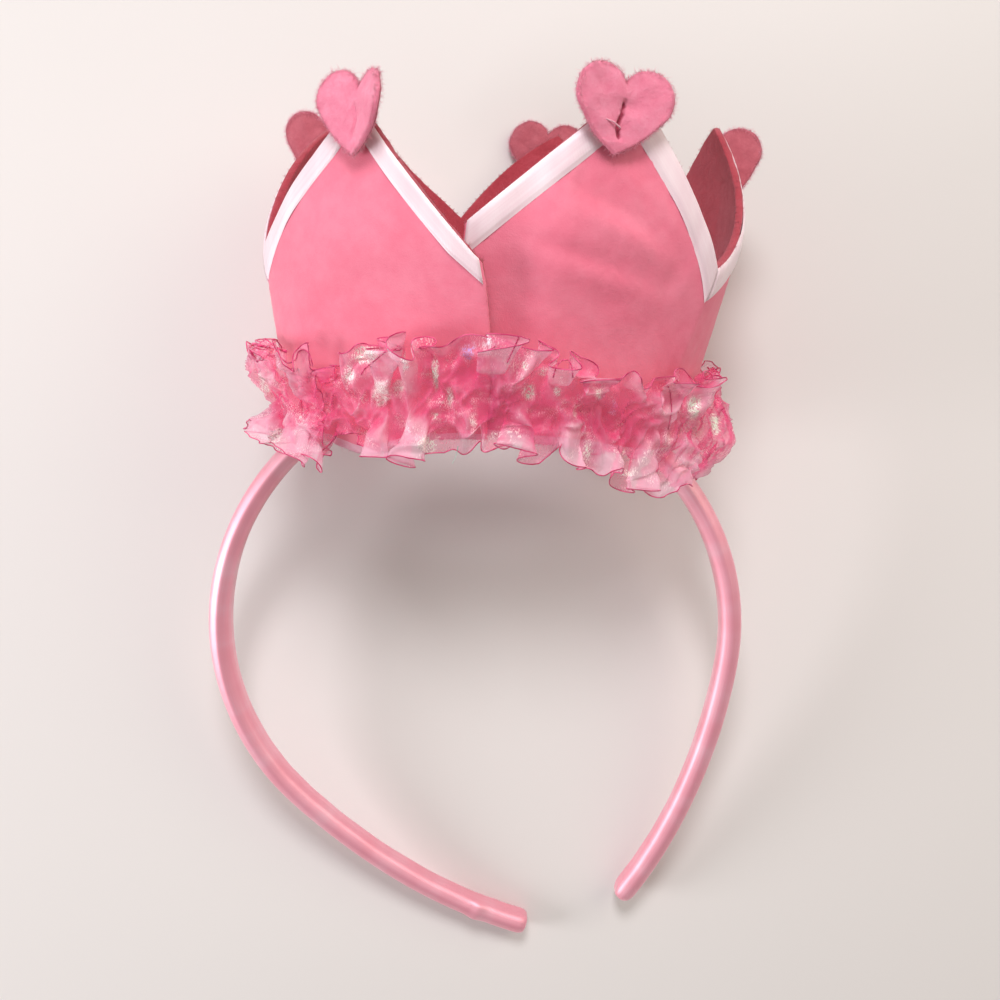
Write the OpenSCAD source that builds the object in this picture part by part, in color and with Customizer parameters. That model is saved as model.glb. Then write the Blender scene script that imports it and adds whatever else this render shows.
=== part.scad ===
// Mini crown headband, lying on its back.
// A cloth-wrapped band carries a five-pointed felt crown with ribbon edging,
// a small felt heart on each point and a gathered ruffle round its foot.
// +Z is up from the surface that it lies on, and +Y runs towards the crown's points.

/* [Headband] */
// Outer radius of the band's round part
band_outer_r = 68.6; // [60:0.2:78]
// Breadth of the band, from its front edge to its back edge
band_breadth = 9; // [7:0.5:12]
// Breadth of the band at its two ends
band_end_breadth = 7.6; // [6:0.2:12]
// Thickness of the wrapped band
band_thick = 4.8; // [3:0.2:6]
// Angle from the top of the band to each of its ends
band_reach = 171; // [150:1:172]
// Angle from the top of the band to where its legs start to straighten
band_round_reach = 115; // [100:1:130]
// How far each end stands out from the round part
end_spread = 20.2; // [5:0.1:22]
// Length over which each end is rounded off
end_round = 5; // [2:0.5:8]

/* [Crown] */
// Height of the crown's points above its foot
tip_h = 75; // [60:1:90]
// Height at which the sides of the crown turn from flaring to upright
waist_h = 44.5; // [35:0.5:55]
// Thickness of the felt
wall = 2; // [1:0.1:3]
// Half width of the crown at its foot
foot_half_w = 46.4; // [42:0.2:50]
// Half width of the crown where its sides turn upright
waist_half_w = 56.5; // [50:0.5:62]
// Half width of the crown at its points
tip_half_w = 55.5; // [46:0.5:60]
// Depth from the band to the front of the crown at its foot
foot_front = 29; // [25:0.5:36]
// Depth from the band to the front of the crown where it turns upright
waist_front = 41; // [34:0.5:46]
// Depth from the band to the front of the crown at its points
tip_front = 40; // [32:0.5:46]
// How far the middle of the foot's front edge is drawn up
foot_arch = 4.5; // [0:0.5:6]
// How flat each side lies between its valleys, from 0, round, to 1, straight
side_flatness = 0.4; // [0:0.05:0.8]
// How far the crown's points lean to the right of its foot
lean_side = 4.7; // [0:0.1:8]
// Angle of the crown round the band, to the right of straight up
crown_angle = 3; // [0:1:12]

/* [Ribbon and hearts] */
// Width of the ribbon along the crown's upper edge
ribbon_w = 5.6; // [4:0.2:7]
// Thickness of the ribbon
ribbon_t = 0.8; // [0.5:0.1:1]
// Width of a heart laid flat
heart_w = 21.6; // [18:0.2:26]
// Height of a heart
heart_h = 17.2; // [15:0.2:22]
// How far the sides of a heart bulge between its lobes and its tip
heart_bulge = 0.6; // [0:0.1:1.2]
// Thickness of a heart
heart_t = 2; // [1:0.1:2.6]
// How far the edge of a heart's wing curls forwards
heart_cup = 1.2; // [0:0.1:2]

/* [Ruffle] */
// Height of the gathered ribbon
ruffle_h = 22.5; // [18:0.5:28]
// Height of the gathering line above the crown's foot
ruffle_gather_h = 7.6; // [6:0.2:14]
// Thickness of the gathered ribbon
ruffle_wall = 1; // [0.8:0.1:1.4]
// How far the ruffle's edges stand out from the gathering line
ruffle_puff = 9; // [3:0.5:10]
// How far the ruffle is drawn up at the front, between the band's two sides
ruffle_arch = 7; // [0:0.5:9]
// How far the ruffle hangs lower on the right, and higher on the left, than at the back
ruffle_slant = 1.3; // [0:0.1:3]
// How far the ruffle's upper edge dips at the right front
ruffle_dip = 4; // [0:0.5:6]
// Number of folds round the crown
ruffle_folds = 31; // [20:1:36]

/* [Lying pose] */
// Tilt of the band's plane, with its ends and the crown's back on the surface
lie_tilt = 13; // [10:0.5:18]
// Angle between the band's own top and the crown's side of the picture
band_turn = 18; // [0:1:30]

/* [Hidden] */

// Gap between pieces that are sewn or glued together
seat_gap = 0.3;
// Where the middle of the lying object's box comes, seen from the band's centre
middle_x = 2.12;
middle_y = 27.57;

band_pink = "#f2b2cf";
felt_pink = "#e5708f";
heart_pink = "#f391ad";
ribbon_white = "#fbe6ec";
ruffle_pink = "#ea4f86";

// Edge of the felt strip, valley and point in turn, from its tucked end to its free end
STRIP_ANGLE = 0;
STRIP_HEIGHT = 1;
STRIP_SWELL = 2;
STRIP_BOW = 3;
// Columns: angle round the crown, height as a share of tip_h, swell of the side below the edge
// as a share of the crown's radius, and bow of the slope from this row to the next, as a share
// of tip_h
STRIP = [
    [-9, 0.684, 0, 0],
    [25.5, 1.068, 0, 0.024],
    [53.6, 0.595, 0.04, -0.07],
    [106, 1.03, 0.115, 0.085],
    [136, 0.63, 0, 0],
    [170, 1.027, 0, 0.04],
    [193, 0.715, 0, 0],
    [234, 1.045, 0.13, 0.07],
    [279.8, 0.576, 0, 0],
    [317, 1, 0, 0],
    [355, 0.583, 0, 0]
];

// Columns: row of its point in STRIP, fold of the left wing, fold of the right wing, roll,
// its middle's height above the point as a share of heart_h, its shift to the right as a share
// of heart_w, and how much closer to the felt it is sewn than the ribbon's face
HEART_POINT = 0;
HEART_LEFT = 1;
HEART_RIGHT = 2;
HEART_ROLL = 3;
HEART_LIFT = 4;
HEART_SHIFT = 5;
HEART_CLOSER = 6;
HEARTS = [
    [1, 0, 6, 2, -0.36, -0.14, 0],
    [3, 64, 45, 12, -0.55, 0.28, 0],
    [5, 0, 0, -1.8, -0.27, 0.165, 0],
    [7, 50, 52, 15, -0.82, 0.29, 0.7],
    [9, 1, 21, -2.6, -0.2, 0.124, 0]
];

// Steps of the meshes
steps_per_slope = 7;
wall_rows = 9;
band_steps = 64;
band_sides = 12;
heart_arc_steps = 9;
heart_line_steps = 4;
ruffle_steps_per_fold = 6;
ruffle_rows = 7;

// Roundness of the band's section, and how late its legs spread
band_squareness = 0.62;
spread_power = 2.1;

// How softly the crown's sides turn, and how late its lean and its foot's arch build up
waist_softness = 8;
lean_power = 1.7;
arch_power = 4;

// Turn of the felt strip's free end between its top and its foot
free_end_turn = 5;

// Spare room under the heart at the crown's back, and behind the strip's overlap
back_spare = 0.85;
tuck_spare = 0.8;

// Radius of a heart's lobe as a share of heart_w, and size of its inner ring of points
heart_lobe_share = 0.265;
heart_ring_share = 0.55;

// Puff of the ruffle's upper edge as a share of the lower one's, how much the gathering line
// pinches it at each side, and the angle round the crown at which its upper edge dips
upper_puff_share = 0.7;
left_pinch = 0.85;
right_pinch = 0.35;
dip_angle = 45;

// How far before and behind the band the ruffle starts to spread round it
band_clear_zone = 2;

// The felt strip's first end is tucked behind its last end, with the ribbon between
tuck_depth = wall + ribbon_t + 2 * seat_gap + tuck_spare;
tuck_full_angle = 2;
tuck_free_angle = 15;

// The crown's foot sits astride the band, on the inner corner of its felt
seat_r = sqrt(pow(band_outer_r, 2) - pow(foot_half_w - wall / 2, 2)) + seat_gap;

end_r = band_outer_r + end_spread;

// Height of the band's centre above the surface, with its lower end on the surface
lie_h = -min([for (angle = band_angles(), p = band_ring(angle))
    p[1] * sin(lie_tilt) + p[2] * cos(lie_tilt)]);

// What lies between the middle of the felt and the surface under the crown's back
back_stack = wall / 2 + seat_gap + ribbon_t + seat_gap + heart_t + back_spare;

// General helpers

function smooth01(t) =
    let (s = min(1, max(0, t)))
    s * s * (3 - 2 * s);

function soft_ramp(x, softness) = (x + sqrt(x * x + softness * softness)) / 2;

function unit(v) = v / norm(v);

// Triangles of a slab between two grids of cols by rows points, the outer grid first
function slab_faces(cols, rows) =
    let (n = cols * rows, top = rows - 1, last = (cols - 1) * rows)
    concat(
        [for (i = [0:cols - 2], j = [0:rows - 2], half = [0, 1])
            let (a = i * rows + j, b = a + rows)
            half == 0 ? [a, a + 1, b + 1] : [a, b + 1, b]],
        [for (i = [0:cols - 2], j = [0:rows - 2], half = [0, 1])
            let (a = n + i * rows + j, b = a + rows)
            half == 0 ? [a, b + 1, a + 1] : [a, b, b + 1]],
        [for (i = [0:cols - 2], half = [0, 1])
            let (a = i * rows, b = a + rows)
            half == 0 ? [a, b, b + n] : [a, b + n, a + n]],
        [for (i = [0:cols - 2], half = [0, 1])
            let (a = i * rows + top, b = a + rows)
            half == 0 ? [b, a, a + n] : [b, a + n, b + n]],
        [for (j = [0:rows - 2], half = [0, 1])
            half == 0 ? [j + 1, j, j + n] : [j + 1, j + n, j + 1 + n]],
        [for (j = [0:rows - 2], half = [0, 1])
            let (a = last + j)
            half == 0 ? [a, a + 1, a + 1 + n] : [a, a + 1 + n, a + n]]
    );

// Triangles of a tube of rings, closed by a flat face at each end
function tube_faces(rings, sides) =
    concat(
        [for (i = [0:rings - 2], k = [0:sides - 1], half = [0, 1])
            let (a = i * sides + k, b = i * sides + (k + 1) % sides)
            half == 0 ? [a, b, b + sides] : [a, b + sides, a + sides]],
        [[for (k = [sides - 1:-1:0]) k]],
        [[for (k = [0:sides - 1]) (rings - 1) * sides + k]]
    );

// Headband

function band_r(angle) =
    let (t = max(0, abs(angle) - band_round_reach) / (band_reach - band_round_reach))
    band_outer_r + end_spread * pow(t, spread_power);

function band_dir(angle) = [sin(angle - band_turn), cos(angle - band_turn)];

function band_mid(angle) = (band_r(angle) - band_thick / 2) * band_dir(angle);

// Outward direction of the band, square to its run
function band_out(angle) =
    let (run = unit(band_mid(angle + 0.5) - band_mid(angle - 0.5)))
    [-run[1], run[0]];

function band_breadth_at(angle) =
    band_breadth + (band_end_breadth - band_breadth) * smooth01((abs(angle) - 60) / 100);

// Share of the full section at a distance from the band's nearer end
function end_share(angle) =
    let (t = min(1, (band_reach - abs(angle)) * PI / 180 * end_r / end_round))
    0.45 + 0.55 * sqrt(1 - pow(1 - t, 2));

function section_power(v) = sign(v) * pow(abs(v), band_squareness);

function band_ring(angle) =
    let (mid = band_mid(angle), out = band_out(angle), share = end_share(angle))
    [for (k = [0:band_sides - 1])
        let (
            turn = 360 * (k + 0.5) / band_sides,
            o = band_thick / 2 * share * section_power(cos(turn)),
            z = band_breadth_at(angle) / 2 * share * section_power(sin(turn))
        )
        [mid[0] + o * out[0], mid[1] + o * out[1], z]];

// Stations along the band, closer together where its ends are rounded
function band_angles() =
    let (cap = end_round / end_r * 180 / PI, body = band_reach - cap)
    concat(
        [for (s = [0, 0.12, 0.4]) -band_reach + s * cap],
        [for (i = [0:band_steps]) -body + 2 * body * i / band_steps],
        [for (s = [0.4, 0.12, 0]) band_reach - s * cap]
    );

module headband() {
    angles = band_angles();
    color(band_pink)
        lying()
            polyhedron(
                points = [for (angle = angles) each band_ring(angle)],
                faces = tube_faces(len(angles), band_sides)
            );
}

// Crown

function two_slopes(h, low, mid, high) =
    let (lower = (mid - low) / waist_h, upper = (high - mid) / (tip_h - waist_h))
    low + lower * h + (upper - lower) * soft_ramp(h - waist_h, waist_softness);

function half_width(h) = two_slopes(h, foot_half_w, waist_half_w, tip_half_w);

function front_depth(h) = two_slopes(h, foot_front, waist_front, tip_front);

// Depth from the band's plane down to the surface, at a distance along the crown's axis
function floor_depth(y) = (y * sin(lie_tilt) + lie_h) / cos(lie_tilt);

function back_depth(h) = floor_depth((seat_r + h) * cos(crown_angle)) - back_stack;

function tuck(angle) =
    tuck_depth
    * (1 - smooth01((angle - tuck_full_angle) / (tuck_free_angle - tuck_full_angle)));

// Height of the foot's lower edge, drawn up at the front between the band's two sides
function foot_height(angle) = foot_arch * pow(max(0, cos(angle)), arch_power);

// Point beside the felt's middle, in the crown's own frame: right, up, front
function ring_point(angle, h, off, swell = 0) =
    let (
        t = h / tip_h,
        wide = 1 + swell * 6.75 * t * t * (1 - t),
        w = half_width(h) * wide,
        d = (cos(angle) > 0 ? front_depth(h) : back_depth(h)) * wide,
        out = unit([sin(angle) / w, cos(angle) / d]),
        lean = lean_side * pow(max(0, t), lean_power)
    )
    [w * sin(angle) + off * out[0] + lean, h, d * cos(angle) + off * out[1]];

// The crown's frame set on the band's frame
function on_band(p) =
    let (y = seat_r + p[1])
    [
        p[0] * cos(crown_angle) + y * sin(crown_angle),
        y * cos(crown_angle) - p[0] * sin(crown_angle),
        p[2]
    ];

// Place along the strip's table, with a whole number at each of its rows
function strip_value(place, column) =
    let (i = min(floor(place), len(STRIP) - 2), t = place - i)
    STRIP[i][column] * (1 - t) + STRIP[i + 1][column] * t;

// Height of the felt's upper edge; a slope may bow upwards between its ends
function strip_top(place) =
    let (i = min(floor(place), len(STRIP) - 2), t = place - i)
    tip_h * (strip_value(place, STRIP_HEIGHT) + STRIP[i][STRIP_BOW] * 4 * t * (1 - t));

// Angle round the crown; the strip's free end slants, further round at its foot
function strip_angle(place, h) =
    let (last = max(0, place - (len(STRIP) - 2)))
    strip_value(place, STRIP_ANGLE)
    + last * free_end_turn * (1 - pow(min(1, h / waist_h), 3));

function round_point(place, h, off) =
    let (angle = strip_angle(place, h))
    ring_point(angle, h, off - tuck(angle), strip_value(place, STRIP_SWELL));

// Each side of the crown is drawn part of the way to a flat panel between its valleys
function strip_point(place, h, off) =
    let (
        side = 2 * min(floor(place / 2), (len(STRIP) - 3) / 2),
        t = (place - side) / 2,
        flat = side_flatness * smooth01(h / waist_h),
        straight = round_point(side, h, off) * (1 - t) + round_point(side + 2, h, off) * t
    )
    round_point(place, h, off) * (1 - flat) + straight * flat;

module crown_wall() {
    cols = (len(STRIP) - 1) * steps_per_slope + 1;
    grid = [for (side = [1, -1], i = [0:cols - 1], j = [0:wall_rows - 1])
        let (
            place = i / steps_per_slope,
            foot = foot_height(strip_value(place, STRIP_ANGLE)),
            h = foot + (strip_top(place) - foot) * j / (wall_rows - 1)
        )
        on_band(strip_point(place, h, side * wall / 2))];
    color(felt_pink)
        lying()
            polyhedron(points = grid, faces = slab_faces(cols, wall_rows));
}

// Ribbon edging of one point of the crown

ribbon_near = wall / 2 + seat_gap;
ribbon_far = ribbon_near + ribbon_t;

// Length of felt between two places along the strip, at the height of the lower one
function slope_run(from, to) =
    let (h = min(strip_top(from), strip_top(to)))
    norm(strip_point(to, h, 0) - strip_point(from, h, 0));

// Height of the ribbon measured straight down from a sloping edge
function slope_drop(from, to) =
    let (rise = abs(strip_top(to) - strip_top(from)), run = slope_run(from, to))
    ribbon_w * sqrt(run * run + rise * rise) / run;

// The same at a place along the edge, with the two slopes blended close to the point
function ribbon_drop(point, place) =
    let (
        left = slope_drop(point, point - 1),
        right = slope_drop(point, point + 1),
        share = smooth01(0.5 + (place - point) * steps_per_slope / 2)
    )
    left + (right - left) * share;

module ribbon(point) {
    trim = seat_gap / 60;
    cols = 2 * steps_per_slope + 1;
    grid = [for (off = [ribbon_far, ribbon_near], i = [0:cols - 1], j = [0, 1])
        let (
            share = i / (cols - 1),
            place = point + (2 * share - 1) * (1 - trim),
            drop = ribbon_drop(point, place)
        )
        on_band(strip_point(place, strip_top(place) - (1 - j) * drop, off))];
    color(ribbon_white)
        lying()
            polyhedron(points = grid, faces = slab_faces(cols, 2));
}

// Felt hearts

// Right half of a flat heart's outline, from the cleft round the lobe to the tip
function half_heart() =
    let (
        r = heart_lobe_share * heart_w,
        c = heart_w / 2 - r,
        lobe_y = heart_h / 2 - r,
        cleft = 180 - atan2(sqrt(r * r - c * c), c),
        reach = norm([c, lobe_y + heart_h / 2]),
        tangent = atan2(-heart_h / 2 - lobe_y, -c) + acos(r / reach),
        touch = [c + r * cos(tangent), lobe_y + r * sin(tangent)],
        tip = [0, -heart_h / 2],
        run = unit(tip - touch)
    )
    concat(
        [for (i = [0:heart_arc_steps])
            let (turn = cleft + (tangent - cleft) * i / heart_arc_steps)
            [i == 0 ? 0 : c + r * cos(turn), lobe_y + r * sin(turn)]],
        [for (i = [1:heart_line_steps])
            let (t = i / heart_line_steps)
            touch + (tip - touch) * t + heart_bulge * 4 * t * (1 - t) * [-run[1], run[0]]]
    );

function heart_outline() =
    let (right = half_heart(), n = len(right))
    concat(right, [for (i = [n - 2:-1:1]) [-right[i][0], right[i][1]]]);

// A point of the flat heart after its wings are folded forwards, in the heart's own frame
function fold_heart(p, off, left, right) =
    let (
        side = sign(p[0]),
        x = abs(p[0]),
        curl = heart_cup * x * x / pow(heart_w / 2, 2),
        fold = side > 0 ? right : left,
        lift = side == 0 ? 0 : atan(2 * heart_cup * x / pow(heart_w / 2, 2)),
        turn = side == 0 ? (right - left) / 2 : side * (fold + lift)
    )
    [
        side * (x * cos(fold) - curl * sin(fold)) - off * sin(turn),
        p[1],
        x * sin(fold) + curl * cos(fold) + off * cos(turn)
    ];

function heart_layer(off, left, right) =
    let (outline = heart_outline())
    concat(
        [for (p = outline) fold_heart(p, off, left, right)],
        [for (p = outline) fold_heart(p * heart_ring_share, off, left, right)],
        [fold_heart([0, 0], off, left, right)]
    );

function heart_faces(n) =
    let (layer = 2 * n + 1)
    concat(
        [for (i = [0:n - 1], half = [0, 1])
            let (a = i, b = (i + 1) % n)
            half == 0 ? [a, b, b + n] : [a, b + n, a + n]],
        [for (i = [0:n - 1]) [i + n, (i + 1) % n + n, 2 * n]],
        [for (i = [0:n - 1], half = [0, 1])
            let (a = i + layer, b = (i + 1) % n + layer)
            half == 0 ? [a, b + n, b] : [a, a + n, b + n]],
        [for (i = [0:n - 1]) [i + n + layer, 2 * n + layer, (i + 1) % n + n + layer]],
        [for (i = [0:n - 1], half = [0, 1])
            let (a = i, b = (i + 1) % n)
            half == 0 ? [a, a + layer, b + layer] : [a, b + layer, b]]
    );

// Turns a heart-frame point, right, up and out, and sets it on a point of the crown
function on_point(p, spec) =
    let (
        point = spec[HEART_POINT],
        roll = spec[HEART_ROLL],
        tip = strip_point(point, strip_top(point), 0),
        below = strip_point(point, strip_top(point) - heart_h / 2, 0),
        up = unit(tip - below),
        outer = strip_point(point, strip_top(point), 1) - tip,
        right = unit(cross(up, outer)),
        out = cross(right, up),
        x = p[0] * cos(roll) + p[1] * sin(roll) + spec[HEART_SHIFT] * heart_w,
        y = p[1] * cos(roll) - p[0] * sin(roll) + spec[HEART_LIFT] * heart_h
    )
    on_band(tip + x * right + y * up
        + (p[2] + ribbon_far + seat_gap + heart_t / 2 - spec[HEART_CLOSER]) * out);

module heart(row) {
    spec = HEARTS[row];
    layers = concat(
        heart_layer(heart_t / 2, spec[HEART_LEFT], spec[HEART_RIGHT]),
        heart_layer(-heart_t / 2, spec[HEART_LEFT], spec[HEART_RIGHT])
    );
    color(heart_pink)
        lying()
            polyhedron(
                points = [for (p = layers) on_point(p, spec)],
                faces = heart_faces(len(heart_outline()))
            );
}

// Ruffle

ruffle_start = -84;
ruffle_end = 274;
ruffle_cols = ruffle_folds * ruffle_steps_per_fold + 1;

function ruffle_angle(i) = ruffle_start + (ruffle_end - ruffle_start) * i / (ruffle_cols - 1);

// Fold pattern from 0, close to the crown, to 1, furthest out
function ruffle_wave(angle, v) =
    let (
        turns = ruffle_folds * angle,
        drift = 55 * sin(3 * angle + 20) + 35 * sin(7 * angle),
        twist = 70 * v * sin(5 * angle + 60)
    )
    0.5 + 0.36 * sin(turns + drift + twist) + 0.14 * sin(2.5 * turns - 2 * drift + 90 * v);

// How far the ruffle's middle stands off the felt's middle
function ruffle_off(angle, v) =
    let (
        near = wall / 2 + seat_gap + ruffle_wall / 2 + 0.2,
        pinch = left_pinch + (right_pinch - left_pinch) * pow((1 + sin(angle)) / 2, 2),
        upper = v > 0 ? 1 + (upper_puff_share - 1) * v : 1,
        spread = (1 - pinch * (1 - pow(abs(v), 0.8))) * upper
    )
    near + ruffle_puff * spread * ruffle_wave(angle, v);

// Wall measured along the radius, thicker where the folds run steeply
function ruffle_side_wall(angle, v) =
    let (
        step = 0.5,
        radius = (foot_half_w + foot_front) / 2,
        slope = (ruffle_off(angle + step, v) - ruffle_off(angle - step, v))
            / (2 * step * PI / 180 * radius)
    )
    ruffle_wall * sqrt(1 + min(slope * slope, 3));

// Edge heights wander a little round the ring
function ruffle_height(angle, v) =
    ruffle_gather_h + ruffle_arch * pow(max(0, cos(angle)), arch_power)
    - ruffle_slant * sin(angle) + v * ruffle_h / 2
    - max(0, v) * ruffle_dip * pow(max(0, cos(angle - dip_angle)), 3)
    + v * 1.2 * sin(ruffle_folds * angle + 120 * v) + 0.5 * sin(4 * angle);

// The ruffle is spread round the outside of the band where they meet
function outside_band(p, least) =
    let (
        close = abs(p[2]) < band_breadth / 2 + band_clear_zone,
        out = close ? max(1, (band_outer_r + least) / norm([p[0], p[1]])) : 1
    )
    [p[0] * out, p[1] * out, p[2]];

// The ruffle is pressed flat where it lies on the surface
function above_floor(p, least) =
    [p[0], p[1], max(p[2], least - floor_depth(p[1]))];

function ruffle_point(angle, v, side) =
    let (
        half = side * ruffle_side_wall(angle, v) / 2,
        nearest = wall / 2 + seat_gap,
        off = max(nearest, ruffle_off(angle, v) + half),
        p = on_band(ring_point(angle, ruffle_height(angle, v), off))
    )
    above_floor(
        outside_band(p, seat_gap + (side > 0 ? ruffle_wall : 0)),
        side > 0 ? 0 : ruffle_wall
    );

module ruffle() {
    grid = [for (side = [1, -1], i = [0:ruffle_cols - 1], j = [0:ruffle_rows - 1])
        ruffle_point(ruffle_angle(i), 2 * j / (ruffle_rows - 1) - 1, side)];
    color(ruffle_pink)
        lying()
            polyhedron(points = grid, faces = slab_faces(ruffle_cols, ruffle_rows));
}

// The band's frame laid on the surface
module lying() {
    translate([-middle_x, -middle_y, lie_h])
        rotate([lie_tilt, 0, 0])
            children();
}

headband();
crown_wall();
ruffle();
ribbon(1);  // ribbon_right_front
ribbon(3);  // ribbon_right_back
ribbon(5);  // ribbon_middle_back
ribbon(7);  // ribbon_left_back
ribbon(9);  // ribbon_left_front
heart(0);  // heart_right_front
heart(1);  // heart_right_back
heart(2);  // heart_middle_back
heart(3);  // heart_left_back
heart(4);  // heart_left_front
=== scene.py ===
"""Looks of the mini crown headband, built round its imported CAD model."""
import math

import bpy
import numpy as np
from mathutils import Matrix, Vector
from mathutils.bvhtree import BVHTree


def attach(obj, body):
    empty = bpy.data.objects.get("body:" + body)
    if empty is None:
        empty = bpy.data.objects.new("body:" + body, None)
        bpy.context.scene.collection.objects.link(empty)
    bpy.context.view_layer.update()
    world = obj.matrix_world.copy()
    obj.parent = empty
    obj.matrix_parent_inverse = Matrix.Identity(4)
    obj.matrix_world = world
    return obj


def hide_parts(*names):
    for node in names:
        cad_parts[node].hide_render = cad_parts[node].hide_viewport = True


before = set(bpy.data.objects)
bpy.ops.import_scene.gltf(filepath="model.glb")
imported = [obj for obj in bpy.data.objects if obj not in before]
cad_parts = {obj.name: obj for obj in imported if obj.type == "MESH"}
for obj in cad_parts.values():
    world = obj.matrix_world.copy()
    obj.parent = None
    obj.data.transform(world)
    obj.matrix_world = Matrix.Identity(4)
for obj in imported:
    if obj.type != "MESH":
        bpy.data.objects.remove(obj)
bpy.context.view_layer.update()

# Sizes in millimetres and degrees, the same as in the part's source

MM = 0.001
BAND_OUTER_R = 68.6
BAND_BREADTH = 9
BAND_END_BREADTH = 7.6
BAND_THICK = 4.8
BAND_REACH = 171
BAND_ROUND_REACH = 115
NARROW_FROM = 60
NARROW_OVER = 100
END_SPREAD = 20.2
SPREAD_POWER = 2.1
BAND_TURN = 18
LIE_TILT = 13
LIE_H = 22.6508
MIDDLE_X = 2.12
MIDDLE_Y = 27.57

TIP_H = 75
WAIST_H = 44.5
WALL = 2
FOOT_HALF_W = 46.4
WAIST_HALF_W = 56.5
TIP_HALF_W = 55.5
FOOT_FRONT = 29
WAIST_FRONT = 41
TIP_FRONT = 40
FOOT_ARCH = 4.5
ARCH_POWER = 4
SIDE_FLATNESS = 0.4
WAIST_SOFTNESS = 8
LEAN_SIDE = 4.7
LEAN_POWER = 1.7
CROWN_ANGLE = 3
FREE_END_TURN = 5
SEAT_GAP = 0.3
BACK_SPARE = 0.85
TUCK_SPARE = 0.8
TUCK_FULL = 2
TUCK_FREE = 15

RIBBON_W = 5.6
RIBBON_T = 0.8
HEART_W = 21.6
HEART_H = 17.2
HEART_T = 2
HEART_CUP = 1.2
HEART_BULGE = 0.6
HEART_LOBE_SHARE = 0.265

RUFFLE_GATHER_H = 7.6
RUFFLE_ARCH = 7
RUFFLE_SLANT = 1.3

SEAT_R = math.sqrt(BAND_OUTER_R ** 2 - (FOOT_HALF_W - WALL / 2) ** 2) + SEAT_GAP
TUCK_DEPTH = WALL + RIBBON_T + 2 * SEAT_GAP + TUCK_SPARE
BACK_STACK = WALL / 2 + SEAT_GAP + RIBBON_T + SEAT_GAP + HEART_T + BACK_SPARE

# Columns: angle round the crown, height, swell, and bow of the slope to the next row
STRIP = np.array([
    (-9, 0.684, 0, 0), (25.5, 1.068, 0, 0.024), (53.6, 0.595, 0.04, -0.07),
    (106, 1.03, 0.115, 0.085), (136, 0.63, 0, 0), (170, 1.027, 0, 0.04),
    (193, 0.715, 0, 0), (234, 1.045, 0.13, 0.07), (279.8, 0.576, 0, 0),
    (317, 1, 0, 0), (355, 0.583, 0, 0),
])
ANGLE, HEIGHT, SWELL, BOW = range(4)

# Columns: name, its point's row in STRIP, folds of its wings, roll, lift, shift, closer
POINTS = (
    ("right_front", 1, 0, 6, 2, -0.36, -0.14, 0.5),
    ("right_back", 3, 64, 45, 12, -0.55, 0.28, 0.5),
    ("middle_back", 5, 0, 0, -1.8, -0.27, 0.165, 0.5),
    ("left_back", 7, 50, 52, 15, -0.82, 0.29, 0.9),
    ("left_front", 9, 1, 21, -2.6, -0.2, 0.124, 0.5),
)

# The camera's place over the lying object, and its lens
CAMERA_AT = (0.00428, 0.00683, 0.307)
CAMERA_LENS = 39.24
CAMERA_SENSOR = 36

BODY = "root"


# General helpers

def sin_deg(angle):
    return np.sin(np.radians(angle))


def cos_deg(angle):
    return np.cos(np.radians(angle))


def smooth01(t):
    s = np.clip(t, 0, 1)
    return s * s * (3 - 2 * s)


def unit(v):
    return v / np.linalg.norm(v, axis=-1, keepdims=True)


def vectors(*parts):
    """Vectors from their parts, which are arrays or single values."""
    return np.stack(np.broadcast_arrays(*parts), -1)


def joined(*rows):
    return np.concatenate(rows)


def bump_shape(x, width):
    return np.exp(-(x / width) ** 2)


def soft_noise(points, size, seed, waves=14):
    """Smooth noise of about -1 to 1 at points in mm, with features of about that size."""
    rng = np.random.default_rng(seed)
    total = np.zeros(points.shape[:-1])
    for _ in range(waves):
        run = unit(rng.normal(size=3)) * (2 * math.pi / size) * rng.uniform(0.6, 1.4)
        total += np.sin(points @ run + rng.uniform(0, 2 * math.pi))
    return total * math.sqrt(2 / waves)


def sin_cos(angle):
    """Sine and cosine of one angle in degrees."""
    return math.sin(math.radians(angle)), math.cos(math.radians(angle))


def added_up(steps):
    """Place before the first of a row of steps, and after each of them."""
    return joined([0], np.cumsum(steps))


def run_along(points):
    """Distance along a row of points, from the first to each of them."""
    return added_up(np.linalg.norm(np.diff(points, axis=0), axis=1))


def smoothed(values, times):
    """Values evened out along a row whose two ends stay."""
    for _ in range(times):
        values[1:-1] = (values[:-2] + 2 * values[1:-1] + values[2:]) / 4
    return values


def lying(p):
    """Points of the band's frame, in mm, laid on the surface, in metres."""
    s, c = sin_cos(LIE_TILT)
    x, y, z = p[..., 0], p[..., 1], p[..., 2]
    return MM * vectors(x - MIDDLE_X, y * c - z * s - MIDDLE_Y, y * s + z * c + LIE_H)


# Meshes

def grid_faces(rows, cols, wrap=False):
    """Quads of a grid whose point i, j has the number i * cols + j."""
    i, j = np.indices((rows - 1, cols if wrap else cols - 1))
    here = i * cols + j
    beside = i * cols + (j + 1) % cols
    return vectors(here, beside, beside + cols, here + cols).reshape(-1, 4).tolist()


def closed_faces(rows, cols, cap):
    """Quads round a closed strip, and the faces of a cap on each of its ends."""
    last = (rows - 1) * cols
    first_cap = [face[::-1] for face in cap]
    last_cap = [[last + k for k in face] for face in cap]
    return grid_faces(rows, cols, wrap=True) + first_cap + last_cap


def tube_faces(rows, sides):
    return closed_faces(rows, sides, [list(range(sides))])


def place_object(name, data, at=(0, 0, 0)):
    obj = bpy.data.objects.new(name, data)
    obj.location = at
    bpy.context.scene.collection.objects.link(obj)
    return obj


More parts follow.
